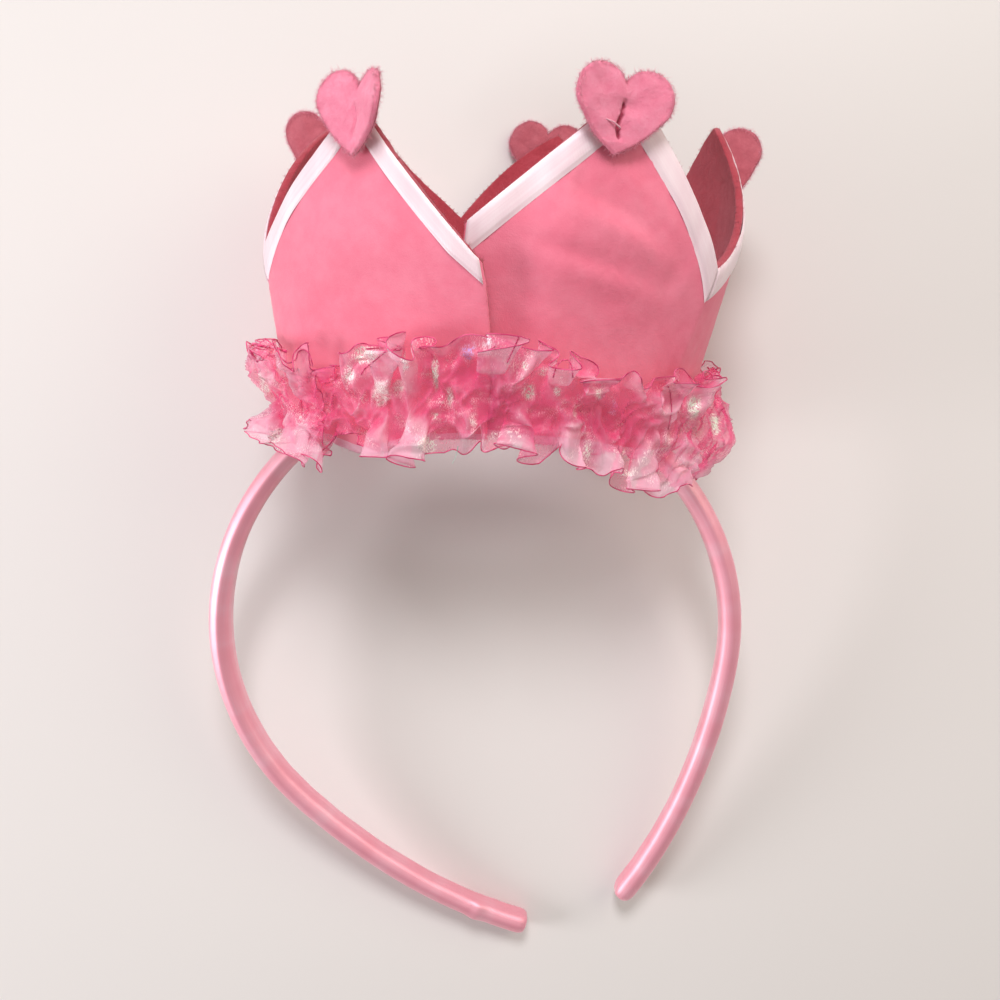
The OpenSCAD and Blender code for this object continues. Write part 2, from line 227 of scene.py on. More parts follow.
def make_object(name, points, faces, materials, faces_by=None, **attributes):
    mesh = bpy.data.meshes.new(name)
    mesh.from_pydata(np.asarray(points).reshape(-1, 3).tolist(), [], faces)
    mesh.polygons.foreach_set("use_smooth", [True] * len(mesh.polygons))
    for key, values in attributes.items():
        layer = mesh.attributes.new(key, "FLOAT_VECTOR", "POINT")
        layer.data.foreach_set("vector", np.asarray(values, np.float32).reshape(-1))
    for material in materials:
        mesh.materials.append(material)
    mesh.polygons.foreach_set("material_index", faces_by or [0] * len(faces))
    mesh.update()
    return place_object(name, mesh)


def make_piece(name, slot, points, faces, *materials, node=None, faces_by=None, **attributes):
    """Makes a piece and puts it on the part, in place of the CAD node that it stands for."""
    obj = make_object(name, points, faces, materials, faces_by, **attributes)
    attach(obj, BODY)
    if node:
        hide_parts(node)
    return obj


def ring_round(run, across, sides):
    """Directions round each step of a run, from the one that is across it."""
    turn = (np.arange(sides) * 2 * math.pi / sides)[:, None]
    return across[:, None] * np.cos(turn) + np.cross(run, across)[:, None] * np.sin(turn)


def tube_points(path, radius, sides):
    """Rings round a path of points in metres, carried along it without twist."""
    run = unit(np.gradient(path, axis=0))
    side = np.cross(run[0], (0.3, 0.5, 0.8))
    across = []
    for step in run:
        side = unit(side - step * (side @ step))
        across.append(side)
    return path[:, None] + ring_round(run, np.array(across), sides) * radius


def tube_piece(name, slot, path, radius_mm, sides, material):
    points = tube_points(path, radius_mm * MM, sides)
    run, side = np.indices((len(path), sides))
    return make_piece(name, slot, points, tube_faces(len(path), sides), material,
                      thread=vectors(run, side / sides, 0))


# Materials

SATIN_RIB_MM = 0.35


def linear(colour):
    """Linear values of a colour given as six hex digits."""
    out = []
    for k in (0, 2, 4):
        v = int(colour[k:k + 2], 16) / 255
        out.append(v / 12.92 if v <= 0.04045 else ((v + 0.055) / 1.055) ** 2.4)
    return (*out, 1)


class Shader:
    """A node material round one Principled shader. Inputs go by name, with _ for a space."""

    def __init__(self, name, **values):
        self.material = bpy.data.materials.new(name)
        self.material.use_nodes = True
        self.nodes = self.material.node_tree.nodes
        self.main = self.nodes["Principled BSDF"]
        self.give(**values)

    def put(self, socket, value):
        """Links an output to an input, or sets the input to a value or a colour in hex digits."""
        if isinstance(value, bpy.types.NodeSocket):
            self.material.node_tree.links.new(value, socket)
        elif isinstance(value, str):
            socket.default_value = linear(value)
        else:
            socket.default_value = value

    def fill(self, node, inputs):
        for key, value in inputs.items():
            self.put(node.inputs[key.replace("_", " ")], value)
        return node

    def add(self, kind, **inputs):
        return self.fill(self.nodes.new("ShaderNode" + kind), inputs)

    def give(self, **inputs):
        self.fill(self.main, inputs)
        return self.material

    def attribute(self, name):
        made = self.add("Attribute")
        made.attribute_name = name
        return made.outputs["Vector"]

    def parts(self, vector):
        return self.add("SeparateXYZ", Vector=vector).outputs

    def noise(self, size_mm, detail=2.0, roughness=0.5, distortion=0.0):
        place = self.add("TexCoord").outputs["Object"]
        made = self.add("TexNoise", Vector=place, Scale=1 / (size_mm * MM), Detail=detail,
                        Roughness=roughness, Distortion=distortion)
        return made.outputs["Fac"]

    def streaks(self, vector, stretch, detail, roughness=0.5, scale=1.0):
        """Noise that is finer along some parts of its vector than along others."""
        at = self.add("Mapping", Vector=vector, Scale=(*stretch, 1)).outputs["Vector"]
        made = self.add("TexNoise", Vector=at, Scale=scale, Detail=detail, Roughness=roughness)
        return made.outputs["Fac"]

    def ramp(self, factor, *stops):
        made = self.add("ValToRGB", Fac=factor)
        elements = made.color_ramp.elements
        while len(elements) < len(stops):
            elements.new(0.5)
        for element, (at, colour) in zip(elements, stops):
            element.position = at
            element.color = linear(colour) if isinstance(colour, str) else (colour,) * 3 + (1,)
        return made.outputs["Color"]

    def mix(self, factor, a, b):
        made = self.nodes.new("ShaderNodeMix")
        made.data_type = "RGBA"
        for number, value in ((0, factor), (6, a), (7, b)):
            self.put(made.inputs[number], value)
        return made.outputs[2]

    def maths(self, operation, a, b=0.0):
        made = self.nodes.new("ShaderNodeMath")
        made.operation = operation
        for socket, value in zip(made.inputs, (a, b)):
            self.put(socket, value)
        return made.outputs[0]

    def total(self, *terms):
        """Sum of outputs, each times its share."""
        products = [self.maths("MULTIPLY", value, share) for value, share in terms]
        result = products[0]
        for product in products[1:]:
            result = self.maths("ADD", result, product)
        return result

    def bumps(self, *layers):
        """Bumps laid over each other, each with its height, its depth in mm and its strength."""
        normal = {}
        for height, distance_mm, strength in layers:
            made = self.add("Bump", Height=height, Distance=distance_mm * MM, Strength=strength,
                            **normal)
            normal = {"Normal": made.outputs["Normal"]}
        return normal["Normal"]


def felt_material(name, dark, middle, light, nap_mm=0.25, patch_mm=9, seam=None):
    """Pressed felt: short tangled fibres over a slightly uneven body, with painted shade in its
    seam that grows darker as the seam's hollow deepens.
    """
    s = Shader(name, Roughness=0.95, Sheen_Weight=0.35, Sheen_Roughness=0.6,
               Sheen_Tint=(1, 0.72, 0.8, 1), Specular_IOR_Level=0.2)
    fibre = s.noise(0.35, detail=4, roughness=0.7, distortion=1.2)
    clump = s.noise(1.6, detail=3, roughness=0.6, distortion=0.6)
    shade = s.total((fibre, 0.34), (clump, 0.36), (s.noise(patch_mm), 0.3))
    colour = s.ramp(shade, (0.36, dark), (0.5, middle), (0.64, light))
    # Painted shade: the seam colour is mixed in by the depth of the seam's hollow.
    if seam:
        depth = s.parts(s.attribute("seam"))["X"]
        colour = s.mix(s.ramp(depth, (0.55, 0.0), (0.95, 1.0)), colour, seam)
    return s.give(Base_Color=colour, Normal=s.bumps((clump, 0.5, 0.35), (fibre, nap_mm, 0.8)))


def cloth_material(name, dark, middle, light):
    """Smooth thin cloth over felt: a fine even weave, and soft large patches of shade."""
    s = Shader(name, Roughness=0.72, Sheen_Weight=0.25, Sheen_Roughness=0.4,
               Specular_IOR_Level=0.3)
    weave = s.noise(0.3, roughness=0.6)
    mottle = s.noise(3.2, detail=3, roughness=0.55)
    patch = s.noise(15, distortion=0.4)
    shade = s.total((weave, 0.16), (mottle, 0.34), (patch, 0.5))
    colour = s.ramp(shade, (0.38, dark), (0.5, middle), (0.62, light))
    return s.give(Base_Color=colour, Normal=s.bumps((mottle, 0.5, 0.25), (weave, 0.12, 0.6)))


def satin_material(name, dark, middle, light, rough, lustre=0.0):
    """Satin with fine ribs across its length, from its attribute of mm along and mm across."""
    s = Shader(name, Roughness=rough, Sheen_Weight=0.4, Sheen_Roughness=0.3,
               Specular_IOR_Level=1.0, Metallic=lustre / 2, Coat_Weight=lustre,
               Coat_Roughness=rough * 1.2, Coat_IOR=3.0)
    along = s.attribute("satin")
    rib = s.maths("SINE", s.maths("MULTIPLY", s.parts(along)["X"], 2 * math.pi / SATIN_RIB_MM))
    lines = s.streaks(along, (0.02, 1.6), 3, scale=1.3)
    soft = s.streaks(along, (0.13, 0.02), 2)
    shade = s.total((lines, 0.35), (soft, 0.65))
    colour = s.ramp(shade, (0.3, dark), (0.5, middle), (0.7, light))
    normal = s.bumps((soft, 0.12, 0.5), (lines, 0.06, 0.5), (rib, 0.02, 0.5))
    return s.give(Base_Color=colour, Normal=normal)


def thread_material(name, dark, light):
    """Sewing thread, in fine slanting turns."""
    s = Shader(name, Roughness=0.5, Sheen_Weight=0.3, Specular_IOR_Level=0.4)
    turn = s.parts(s.attribute("thread"))
    ply = s.maths("SINE", s.total((turn["X"], 1.2), (turn["Y"], 2 * math.pi)))
    shade = s.total((ply, 0.15), (s.noise(5, detail=3), 1))
    colour = s.ramp(shade, (0.35, dark), (0.65, light))
    return s.give(Base_Color=colour, Normal=s.bumps((ply, 0.12, 0.7)))


def organza_material(name):
    """Sheer pink organza with painted highlight: in patches its colour is lightened to white,
    green and violet specks of glint.
    """
    s = Shader(name, Specular_IOR_Level=0.55, Sheen_Weight=0.1)
    cloth = s.attribute("cloth")
    shine = s.parts(s.attribute("shine"))
    strength, hue, height = (shine[key] for key in "XYZ")
    # Painted highlight: the glint specks, their green to violet tint and a pale haze round them
    # are painted into the colour.
    streak = s.streaks(cloth, (3.4, 1.5), 2, roughness=0.8)
    speck = s.total((streak, 0.82), (s.noise(1.5), 0.18), (strength, 0.07))
    painted_specks = s.ramp(speck, (0.53, 0.0), (0.57, 1.0))
    painted_stray_glints = s.ramp(s.noise(5), (0.5, 0.0), (0.7, 0.8))
    ragged = s.total((strength, 1), (s.noise(2.4, detail=3, roughness=0.6), 1.2))
    patch = s.ramp(s.maths("SUBTRACT", ragged, 0.6), (0.1, 0.0), (0.6, 1.0))
    painted_glint = s.maths("MULTIPLY", painted_specks, s.maths("MAXIMUM", patch, painted_stray_glints))
    painted_glint_tint = s.ramp(hue, (0.2, "D8F2D6"), (0.5, "FFF1EC"), (0.85, "D9B4F6"))
    broad = s.noise(6, distortion=0.5)
    fine = s.streaks(cloth, (0.9, 0.7), 3, roughness=0.6)
    # Painted shade: cloth lying close to the crown is deeper pink, and cloth standing out from it
    # is lighter.
    shade = s.total((broad, 0.5), (fine, 0.2), (height, 0.3))
    tone = s.ramp(shade, (0.36, "FF4A90"), (0.48, "FF86B2"), (0.62, "FFC2D8"))
    painted_haze = s.mix(s.maths("MULTIPLY", patch, 0.4), tone, "FFD3DE")
    alpha = s.maths("ADD", s.total((shade, 0.3), (painted_glint, 0.6)), 0.29)
    crinkle = s.noise(2.2, detail=3, roughness=0.6, distortion=0.8)
    return s.give(Base_Color=s.mix(painted_glint, painted_haze, painted_glint_tint), Alpha=alpha,
                  Roughness=s.ramp(painted_glint, (0.0, 0.45), (1.0, 0.22)),
                  Normal=s.bumps((crinkle, 0.4, 0.4)))


BAND_SATIN = satin_material("band_satin", "F97D9A", "FD90AB", "FEAFC4", 0.46, 1.0)
RIBBON_SATIN = satin_material("ribbon_satin", "EFCFD9", "F4DCE3", "F9E8ED", 0.4)
CROWN_CLOTH = cloth_material("crown_cloth", "EC7891", "EF7F97", "F2879E")
# Felt of the crown's inside and ends: its own felt, darkened past its colour as painted shade
# within the crown.
SHADED_INNER_FELT = felt_material("crown_felt", "A83542", "B63F4C", "C24C5A")
FOOT_FELT = felt_material("foot_felt", "F0A2BA", "F5B6CA", "FACBDA")
# The hearts' seam colour is painted shade in the hollow of their stitched crease.
HEART_FELT = felt_material("heart_felt", "F17D9B", "F88DA9", "FD9FB9", 0.35, 6, "A8324E")
HEART_BACK = felt_material("heart_back", "B45461", "C1606D", "CC6E7A", 0.3, 6)
ORGANZA = organza_material("ruffle_organza")
EDGE_THREAD = thread_material("edge_thread", "C41A5E", "F55C94")
STITCH_THREAD = thread_material("stitch_thread", "F3A9BD", "FBD3DD")
PALE_THREAD = thread_material("pale_thread", "BFE5D2", "F2FBF6")
FUZZ = felt_material("felt_fuzz", "EE88A4", "F7A0B7", "FCC0CE")


# Headband

def band_r(angle):
    t = np.maximum(0, np.abs(angle) - BAND_ROUND_REACH) / (BAND_REACH - BAND_ROUND_REACH)
    return BAND_OUTER_R + END_SPREAD * t ** SPREAD_POWER


def band_mid(angle):
    turn = angle - BAND_TURN
    r = band_r(angle) - BAND_THICK / 2
    return vectors(r * sin_deg(turn), r * cos_deg(turn))


def band_out(angle):
    run = unit(band_mid(angle + 0.5) - band_mid(angle - 0.5))
    return vectors(-run[..., 1], run[..., 0])


def band_breadth_at(angle):
    narrow = smooth01((np.abs(angle) - NARROW_FROM) / NARROW_OVER)
    return BAND_BREADTH + (BAND_END_BREADTH - BAND_BREADTH) * narrow


BAND_STATIONS = 640
BAND_SIDES = 48
BAND_PUFF = 1.14
END_RINGS = 12
FIRST_END_ROUND = 2.4
LAST_END_ROUND = 3.4
FIRST_END_POWER = 0.35
LAST_END_POWER = 0.5
END_LEAST = 0.04
SIDE_MM = 0.75

# The wrapped satin, in mm. Columns of its waves: height, length a radian, turn a mm across, start
SLACK_WAVES = ((0.05, 17, 0.35, 0), (0.03, 7.3, 0.9, 1))
PUCKER = 0.05
# Lengths a radian of the puckers, of their drift and of their strength
PUCKER_RUNS = (1.9, 13, 31)
INNER_SEAM = 0.12
INNER_SEAM_AT = 0.6
INNER_SEAM_WIDTH = 0.5
FOLD_AT = 13
FOLD_LEAN = 1.3
FOLD_LENGTH = 1.1
FOLD_SWELL = 0.105
FOLD_WIDENS = 0.021
# Columns: height, place along and across, length and width
KNOT = (0.8, 14.5, 2.5, 1.6, 1.7)
END_TUCK = (0.35, -1.2, 0, 1.2, 1.5)

# Corners of a quarter of the band's section: shares of its half thickness and half breadth
BAND_CORNERS = ((1.0, 0.0), (1.0, 0.52), (0.72, 0.78), (0.1, 1.0))


def band_section():
    """Half thickness and half breadth shares round a section with a low roof on each side."""
    right = np.array(BAND_CORNERS)
    half = joined(right, right[::-1] * (-1, 1))
    whole = joined(half, half[-2:0:-1] * (1, -1), half[:1])
    run = run_along(whole)
    at = run[-1] * (np.arange(BAND_SIDES) + 0.5) / BAND_SIDES
    ring = vectors(*(np.interp(at, run, part) for part in whole.T))
    for _ in range(2):
        ring = (np.roll(ring, 1, 0) + 2 * ring + np.roll(ring, -1, 0)) / 4
    return ring[:, 0] * BAND_PUFF, ring[:, 1]


def band_shares():
    """Angles of the stations, and the share of the full section at each of them."""
    end_r = BAND_OUTER_R + END_SPREAD
    t = np.arange(END_RINGS) / END_RINGS
    rise = np.maximum(np.sin(t * math.pi / 2), END_LEAST)
    inset = 1 - np.cos(t * math.pi / 2)
    first, last = math.degrees(FIRST_END_ROUND / end_r), math.degrees(LAST_END_ROUND / end_r)
    start = -BAND_REACH + first * inset
    finish = (BAND_REACH - last * inset)[::-1]
    body = np.linspace(-BAND_REACH + first, BAND_REACH - last, BAND_STATIONS)
    first_rise, last_rise = rise ** FIRST_END_POWER, rise[::-1] ** LAST_END_POWER
    return joined(start, body, finish), joined(first_rise, 1 + 0 * body, last_rise)


def band_bump(run, z, height, along, across, length, width):
    return height * bump_shape(run - along, length) * bump_shape(z - across, width)


def make_headband():
    angle, share = band_shares()
    out_share, breadth_share = band_section()
    mid, out = band_mid(angle), band_out(angle)
    share, run = share[:, None], run_along(mid)[:, None]
    o = BAND_THICK / 2 * share * out_share
    z = band_breadth_at(angle)[:, None] / 2 * share * breadth_share
    inner = smooth01(-1.5 * out_share)
    wave, drift, swell = (run / length for length in PUCKER_RUNS)
    pucker = PUCKER * np.sin(wave + 2 * np.sin(drift)) * (0.5 + 0.5 * np.sin(swell))
    seam = INNER_SEAM * bump_shape(z - INNER_SEAM_AT, INNER_SEAM_WIDTH)
    slack = sum(height * np.sin(run / length + z * turn + start)
                for height, length, turn, start in SLACK_WAVES)
    o = o - inner * (pucker + seam) + slack * share
    fold = bump_shape(run - FOLD_AT - FOLD_LEAN * z, FOLD_LENGTH)
    tuck_in = band_bump(run - run[-1], z, *END_TUCK)
    o = o * (1 + (FOLD_SWELL * fold - tuck_in) / (BAND_THICK / 2))
    z = z * (1 + FOLD_WIDENS * fold) + band_bump(run, z, *KNOT) * (breadth_share > 0.2)
    points = np.concatenate([mid[:, None] + o[..., None] * out[:, None], z[..., None]], -1)
    satin = vectors(run, SIDE_MM * np.arange(BAND_SIDES), 0)
    faces = tube_faces(len(angle), BAND_SIDES)
    make_piece("headband_satin", "band_satin", lying(points), faces, BAND_SATIN,
               node="headband", satin=satin)


# Crown

# Where the felt's foot hangs lower: how far, and its angle and width in degrees
FOOT_SAG = 3.4
FOOT_SAG_AT = -36
FOOT_SAG_WIDTH = 11
# Makes 1 of the greatest value of the swell's curve
SWELL_SHARE = 27 / 4


def soft_ramp(x, softness):
    return (x + np.sqrt(x * x + softness * softness)) / 2


def two_slopes(h, low, mid, high):
    lower, upper = (mid - low) / WAIST_H, (high - mid) / (TIP_H - WAIST_H)
    return low + lower * h + (upper - lower) * soft_ramp(h - WAIST_H, WAIST_SOFTNESS)


def floor_depth(y):
    s, c = sin_cos(LIE_TILT)
    return (y * s + LIE_H) / c


def back_depth(h):
    return floor_depth((SEAT_R + h) * sin_cos(CROWN_ANGLE)[1]) - BACK_STACK


def tuck(angle):
    return TUCK_DEPTH * (1 - smooth01((angle - TUCK_FULL) / (TUCK_FREE - TUCK_FULL)))


def foot_height(angle):
    """Height of the foot's edge: drawn up at the front, and hanging a little left of it."""
    arch = FOOT_ARCH * np.maximum(0, cos_deg(angle)) ** ARCH_POWER
    from_sag = (angle + 180) % 360 - 180 - FOOT_SAG_AT
    return arch - FOOT_SAG * bump_shape(from_sag, FOOT_SAG_WIDTH)


def ring_point(angle, h, off, swell=0.0):
    """Point beside the felt's middle, in the crown's own frame: right, up, front."""
    t = h / TIP_H
    wide = 1 + swell * SWELL_SHARE * t * t * (1 - t)
    w = two_slopes(h, FOOT_HALF_W, WAIST_HALF_W, TIP_HALF_W) * wide
    front = two_slopes(h, FOOT_FRONT, WAIST_FRONT, TIP_FRONT)
    d = np.where(cos_deg(angle) > 0, front, back_depth(h)) * wide
    out = unit(vectors(sin_deg(angle) / w, cos_deg(angle) / d))
    lean = LEAN_SIDE * np.maximum(0, t) ** LEAN_POWER
    return vectors(w * sin_deg(angle) + off * out[..., 0] + lean, h,
                   d * cos_deg(angle) + off * out[..., 1])


def on_band(p):
    s, c = sin_cos(CROWN_ANGLE)
    x, y = p[..., 0], SEAT_R + p[..., 1]
    return vectors(x * c + y * s, y * c - x * s, p[..., 2])


def strip_row(place):
    """Row of STRIP at or before a place, and how far past it the place is."""
    i = np.clip(np.floor(place).astype(int), 0, len(STRIP) - 2)
    return i, place - i


def strip_value(place, column):
    i, t = strip_row(place)
    return STRIP[i, column] * (1 - t) + STRIP[i + 1, column] * t


def strip_top(place):
    i, past = strip_row(place)
    t = np.clip(past, 0, 1)
    return TIP_H * (strip_value(place, HEIGHT) + STRIP[i, BOW] * 4 * t * (1 - t))


def strip_angle(place, h):
    last = np.maximum(0, place - (len(STRIP) - 2))
    turn = FREE_END_TURN * (1 - np.minimum(1, h / WAIST_H) ** 3)
    return strip_value(place, ANGLE) + last * turn


def round_point(place, h, off):
    angle = strip_angle(place, h)
    return ring_point(angle, h, off - tuck(angle), strip_value(place, SWELL))


def strip_point(place, h, off):
    """Each side of the crown is drawn part of the way to a flat panel between its valleys."""
    place, h, off = np.broadcast_arrays(*(np.asarray(v, float) for v in (place, h, off)))
    side = 2.0 * np.clip(np.floor(place / 2), 0, (len(STRIP) - 3) // 2)
    t = ((place - side) / 2)[..., None]
    flat = (SIDE_FLATNESS * smooth01(h / WAIST_H))[..., None]
    straight = round_point(side, h, off) * (1 - t) + round_point(side + 2, h, off) * t
    return round_point(place, h, off) * (1 - flat) + straight * flat


# Columns: place along the strip, height, slant in degrees, half length, half width, depth in mm
CREASES = (
    (1, 49, 0, 22, 10, 1.4), (9, 49, 0, 22, 10, 0.8),
    (1.02, 62, -28, 9, 1.6, 0.8), (0.95, 56, -22, 13, 1.8, -0.8),
    (1.05, 50.5, -20, 14, 2, 0.9), (0.85, 45, -14, 15, 2, -0.9),
    (1.1, 40, -12, 13, 2.2, 0.8), (0.65, 35, -30, 10, 3, -0.4),
    (1.35, 34, 18, 12, 3.2, 0.4), (0.45, 46, -60, 12, 3, 0.45),
    (1.62, 44, 65, 11, 2.6, -0.35), (8.9, 40, 20, 16, 4, 0.35),
    (9.2, 52, -35, 12, 3.4, -0.25), (8.55, 30, 70, 14, 4, 0.3),
    (3.2, 38, 15, 14, 4, 0.5), (5.1, 44, -18, 14, 4, 0.5),
    (7.1, 40, 25, 14, 4, 0.5),
)
STRIP_MM = 35


def felt_ripple(place, h):
    """How far the felt is pushed out by its creases, in mm."""
    total = 0 * (place + h)
    for at, height, slant, length, width, depth in CREASES:
        x, y = (place - at) * STRIP_MM, h - height
        s, c = sin_cos(slant)
        along, across = bump_shape(x * c + y * s, length), bump_shape(y * c - x * s, width)
        total = total + depth * along * across
    return total


WALL_COLS = 26
WALL_ROWS = 44
RIM_STEPS = 5
RIM_ROUND = 0.5
RIM_SIDE_POWER = 0.6
RIM_LIFT_POWER = 0.7
FRAY = 0.06
FRAY_SIZE = 3.0
# How far the strip's rounded ends reach past it, in rows of STRIP, and their thickness shares
END_PAST = np.array([0.012, 0.008])
END_THICK = np.array([0.5, 0.85])
SHADED_FELT_SLOT, CLOTH_SLOT, FOOT_SLOT = range(3)


def wall_loop():
    """Height share, rim lift and side round the felt's section: up outside, down inside."""
    rise = np.arange(WALL_ROWS + 1) / WALL_ROWS
    turn = math.pi * (np.arange(RIM_STEPS) + 0.5) / RIM_STEPS
    edge = np.sign(np.cos(turn)) * np.abs(np.cos(turn)) ** RIM_SIDE_POWER
    lift = np.sin(turn) ** RIM_LIFT_POWER
    share = joined(rise, 1 + 0 * turn, rise[::-1], 0 * turn)
    rim = joined(0 * rise, lift, 0 * rise, -lift)
    side = joined(1 + 0 * rise, edge, -1 + 0 * rise, -edge)
    return share, rim, side


def crown_faces(rows, cols):
    """Faces of the felt strip, and the material slot of each."""
    inner = cols - WALL_ROWS - RIM_STEPS - 1
    # The inside and the ends get the felt with painted shade.
    slots = ([FOOT_SLOT] + [CLOTH_SLOT] * (WALL_ROWS - 1) + [SHADED_FELT_SLOT] * inner
             + [FOOT_SLOT] * (RIM_STEPS + 1)) * (rows - 1)
    behind = cols - 1 - RIM_STEPS
    cap = [[k, k + 1, behind - k - 1, behind - k] for k in range(WALL_ROWS)]
    cap.append(list(range(WALL_ROWS, WALL_ROWS + RIM_STEPS + 2)))
    cap.append(list(range(behind, cols)) + [0])
    faces = [face[::-1] for face in closed_faces(rows, cols, cap)]
    return faces, slots + [SHADED_FELT_SLOT] * (2 * len(cap))


def make_crown():
    share, rim, side = wall_loop()
    finish = len(STRIP) - 1
    body = np.arange(finish * WALL_COLS + 1) / WALL_COLS
    place = joined(-END_PAST, body, finish + END_PAST[::-1])[:, None]
    thick = joined(END_THICK, 1 + 0 * body, END_THICK[::-1])[:, None]
    foot = foot_height(strip_value(place, ANGLE)) + RIM_ROUND
    top = strip_top(place) - RIM_ROUND
    h = foot + (top - foot) * share + RIM_ROUND * rim
    points = strip_point(place, h, WALL / 2 * side * thick + felt_ripple(place, h))
    points = points + FRAY * soft_noise(points, FRAY_SIZE, 4)[..., None]
    faces, slots = crown_faces(*h.shape)
    return make_piece("crown_felt", "crown_felt", lying(on_band(points)), faces,
                      SHADED_INNER_FELT, CROWN_CLOTH, FOOT_FELT, node="crown_wall", faces_by=slots)


# Ribbon edging

RIBBON_COLS = 84
RIBBON_ACROSS = 9
RIBBON_BACK = WALL / 2 + 0.04
RIBBON_THICK = 0.5
RIBBON_SHARP = 3.5
RIBBON_LOOSE = 0.16
RIBBON_LEAST = 0.3
EDGE_SHARE = 0.25
EDGE_POWER = 6
# How far the ribbon's upper edge lies below the felt's
FRONT_INSET = 0.15
BACK_INSET = 0.6
FRONT_ROWS = (1, 9)
# The ribbon's waves in mm. Columns: height, length a radian
RIBBON_WAVES = ((0.112, 2.4), (0.096, 4.1))
# Share of the ribbon's height seen on the left and right slope of a point, where it is less
RIBBON_SHARES = {"left_front": (0.9, 0.7), "right_front": (1, 0.88)}


def slope_drop(start, end):
    """Height of the ribbon measured straight down from a sloping edge."""
    h = min(strip_top(np.array(start)), strip_top(np.array(end)))
    run = np.linalg.norm(strip_point(end, h, 0) - strip_point(start, h, 0))
    rise = abs(strip_top(np.array(end)) - strip_top(np.array(start)))
    return RIBBON_W * math.hypot(run, rise) / run


def ribbon_lift(length, down, face, row):
    """How far the ribbon stands out, with its thickness, looseness and waves, in mm."""
    (fine, fine_run), (broad, broad_run) = RIBBON_WAVES
    wave = fine * np.sin(length / fine_run + row)
    wave = wave + broad * np.sin(length / broad_run + 2 * row + down)
    body = RIBBON_THICK * (EDGE_SHARE + (1 - EDGE_SHARE) * face) * (face > 0)
    return np.maximum(body + RIBBON_LOOSE * face + wave, RIBBON_LEAST * (face > 0))


def make_ribbon(name, row):
    spread = np.linspace(-1, 1, RIBBON_COLS + 1) * (1 - SEAT_GAP / 60)
    place = (row + spread)[:, None]
    left_share, right_share = RIBBON_SHARES.get(name, (1, 1))
    left = slope_drop(row, row - 1) * left_share
    right = slope_drop(row, row + 1) * right_share
    drop = left + (right - left) * smooth01(0.5 + (place - row) * RIBBON_SHARP)
    across = np.linspace(0, 1, RIBBON_ACROSS)
    edge = 1 - np.abs(2 * across - 1) ** EDGE_POWER
    down = joined(across, across[::-1])
    face = joined(edge, 0 * edge)
    length = (place - row) * STRIP_MM
    inset = FRONT_INSET if row in FRONT_ROWS else BACK_INSET
    h = strip_top(place) - inset - down * (drop - inset)
    lift = ribbon_lift(length, down, face, row)
    points = strip_point(place, h, RIBBON_BACK + lift + felt_ripple(place, h))
    rows, cols = h.shape
    cap = [[k, k + 1, cols - 2 - k, cols - 1 - k] for k in range(RIBBON_ACROSS - 1)]
    faces = closed_faces(rows, cols, cap)
    satin = vectors(length, down * RIBBON_W, 0)
    make_piece(f"ribbon_satin_{name}", "edging_ribbon", lying(on_band(points)), faces,
               RIBBON_SATIN, node=f"ribbon_{name}", satin=satin)


# Felt hearts

HEART_ARC = 46
HEART_LINE = 22
HEART_RINGS = 16
RING_POWER = 0.8
HEART_RIM = 6
HEART_EDGE = 0.7
DOME = 0.34
DOME_POWER = 5
LUMP = 0.12
LUMP_SIZE = 5.0
FOLD_SOFTNESS = 1.8
FRONT_SLOT, BACK_SLOT = range(2)

# The stitched crease: heights of its ends and how far it fades out, depth and width of its hollow
# and of its seam, and its share on the back
CREASE_ENDS = (-6.4, 2.6)
CREASE_FADE = 1.5
CREASE_LINES = ((0.5, 2.6), (0.75, 0.42))
BACK_GROOVE = 0.35
# How far the crease sways in mm, and its turn a mm
CREASE_SWAY = 0.35
CREASE_TURN = 0.9
# The left front heart's crease is shallower, and hides its stitch
SOFT_CREASE = {"left_front": 0.5}

# The stitch in mm: places of its ends, how far it arches along the heart and out of it, its
# ends' depth in the felt and its radius
STITCH_ENDS = ((-4.4, -2.2), (0.2, -3.3))
STITCH_ARCH = (0.25, 0.65)
STITCH_SUNK = 0.45
STITCH_R = 0.17


def heart_outline():
    """Outline of a flat heart, from the cleft clockwise round to the cleft."""
    r = HEART_LOBE_SHARE * HEART_W
    c, lobe_y, tip_y = HEART_W / 2 - r, HEART_H / 2 - r, -HEART_H / 2
    cleft = 180 - math.degrees(math.atan2(math.sqrt(r * r - c * c), c))
    reach = math.hypot(c, lobe_y - tip_y)
    tangent = math.degrees(math.atan2(tip_y - lobe_y, -c) + math.acos(r / reach))
    turn = np.linspace(cleft, tangent, HEART_ARC + 1)
    arc = vectors(c + r * cos_deg(turn), lobe_y + r * sin_deg(turn))
    arc[0, 0] = 0
    tip = np.array([0, tip_y])
    t = np.linspace(0, 1, HEART_LINE + 1)[1:, None]
    run = unit(tip - arc[-1])
    bulge = HEART_BULGE * 4 * t * (1 - t) * (-run[1], run[0])
    half = joined(arc, arc[-1] * (1 - t) + tip * t + bulge)
    return joined(half, half[-2:0:-1] * (-1, 1))


def fold_wing(x, fold):
    """Sideways and forward place, and turn, at a distance from a softly folded crease."""
    s = np.linspace(0, HEART_W, 400)
    cup = np.arctan(2 * HEART_CUP * s / (HEART_W / 2) ** 2)
    turn = math.radians(fold) * smooth01(s / FOLD_SOFTNESS) + cup
    side = added_up(np.cos(turn[:-1]) * s[1])
    front = added_up(np.sin(turn[:-1]) * s[1])
    return np.interp(x, s, side), np.interp(x, s, front), np.interp(x, s, turn)


def fold_heart(p, off, left, right):
    """Points of a flat heart, with its wings folded by two angles."""
    sign = np.sign(p[..., 0])
    wings = [fold_wing(np.abs(p[..., 0]), fold) for fold in (left, right)]
    side, front, turn = (np.where(sign > 0, b, a) for a, b in zip(*wings))
    turn = turn * sign
    return vectors(sign * side - off * np.sin(turn), p[..., 1], front + off * np.cos(turn))


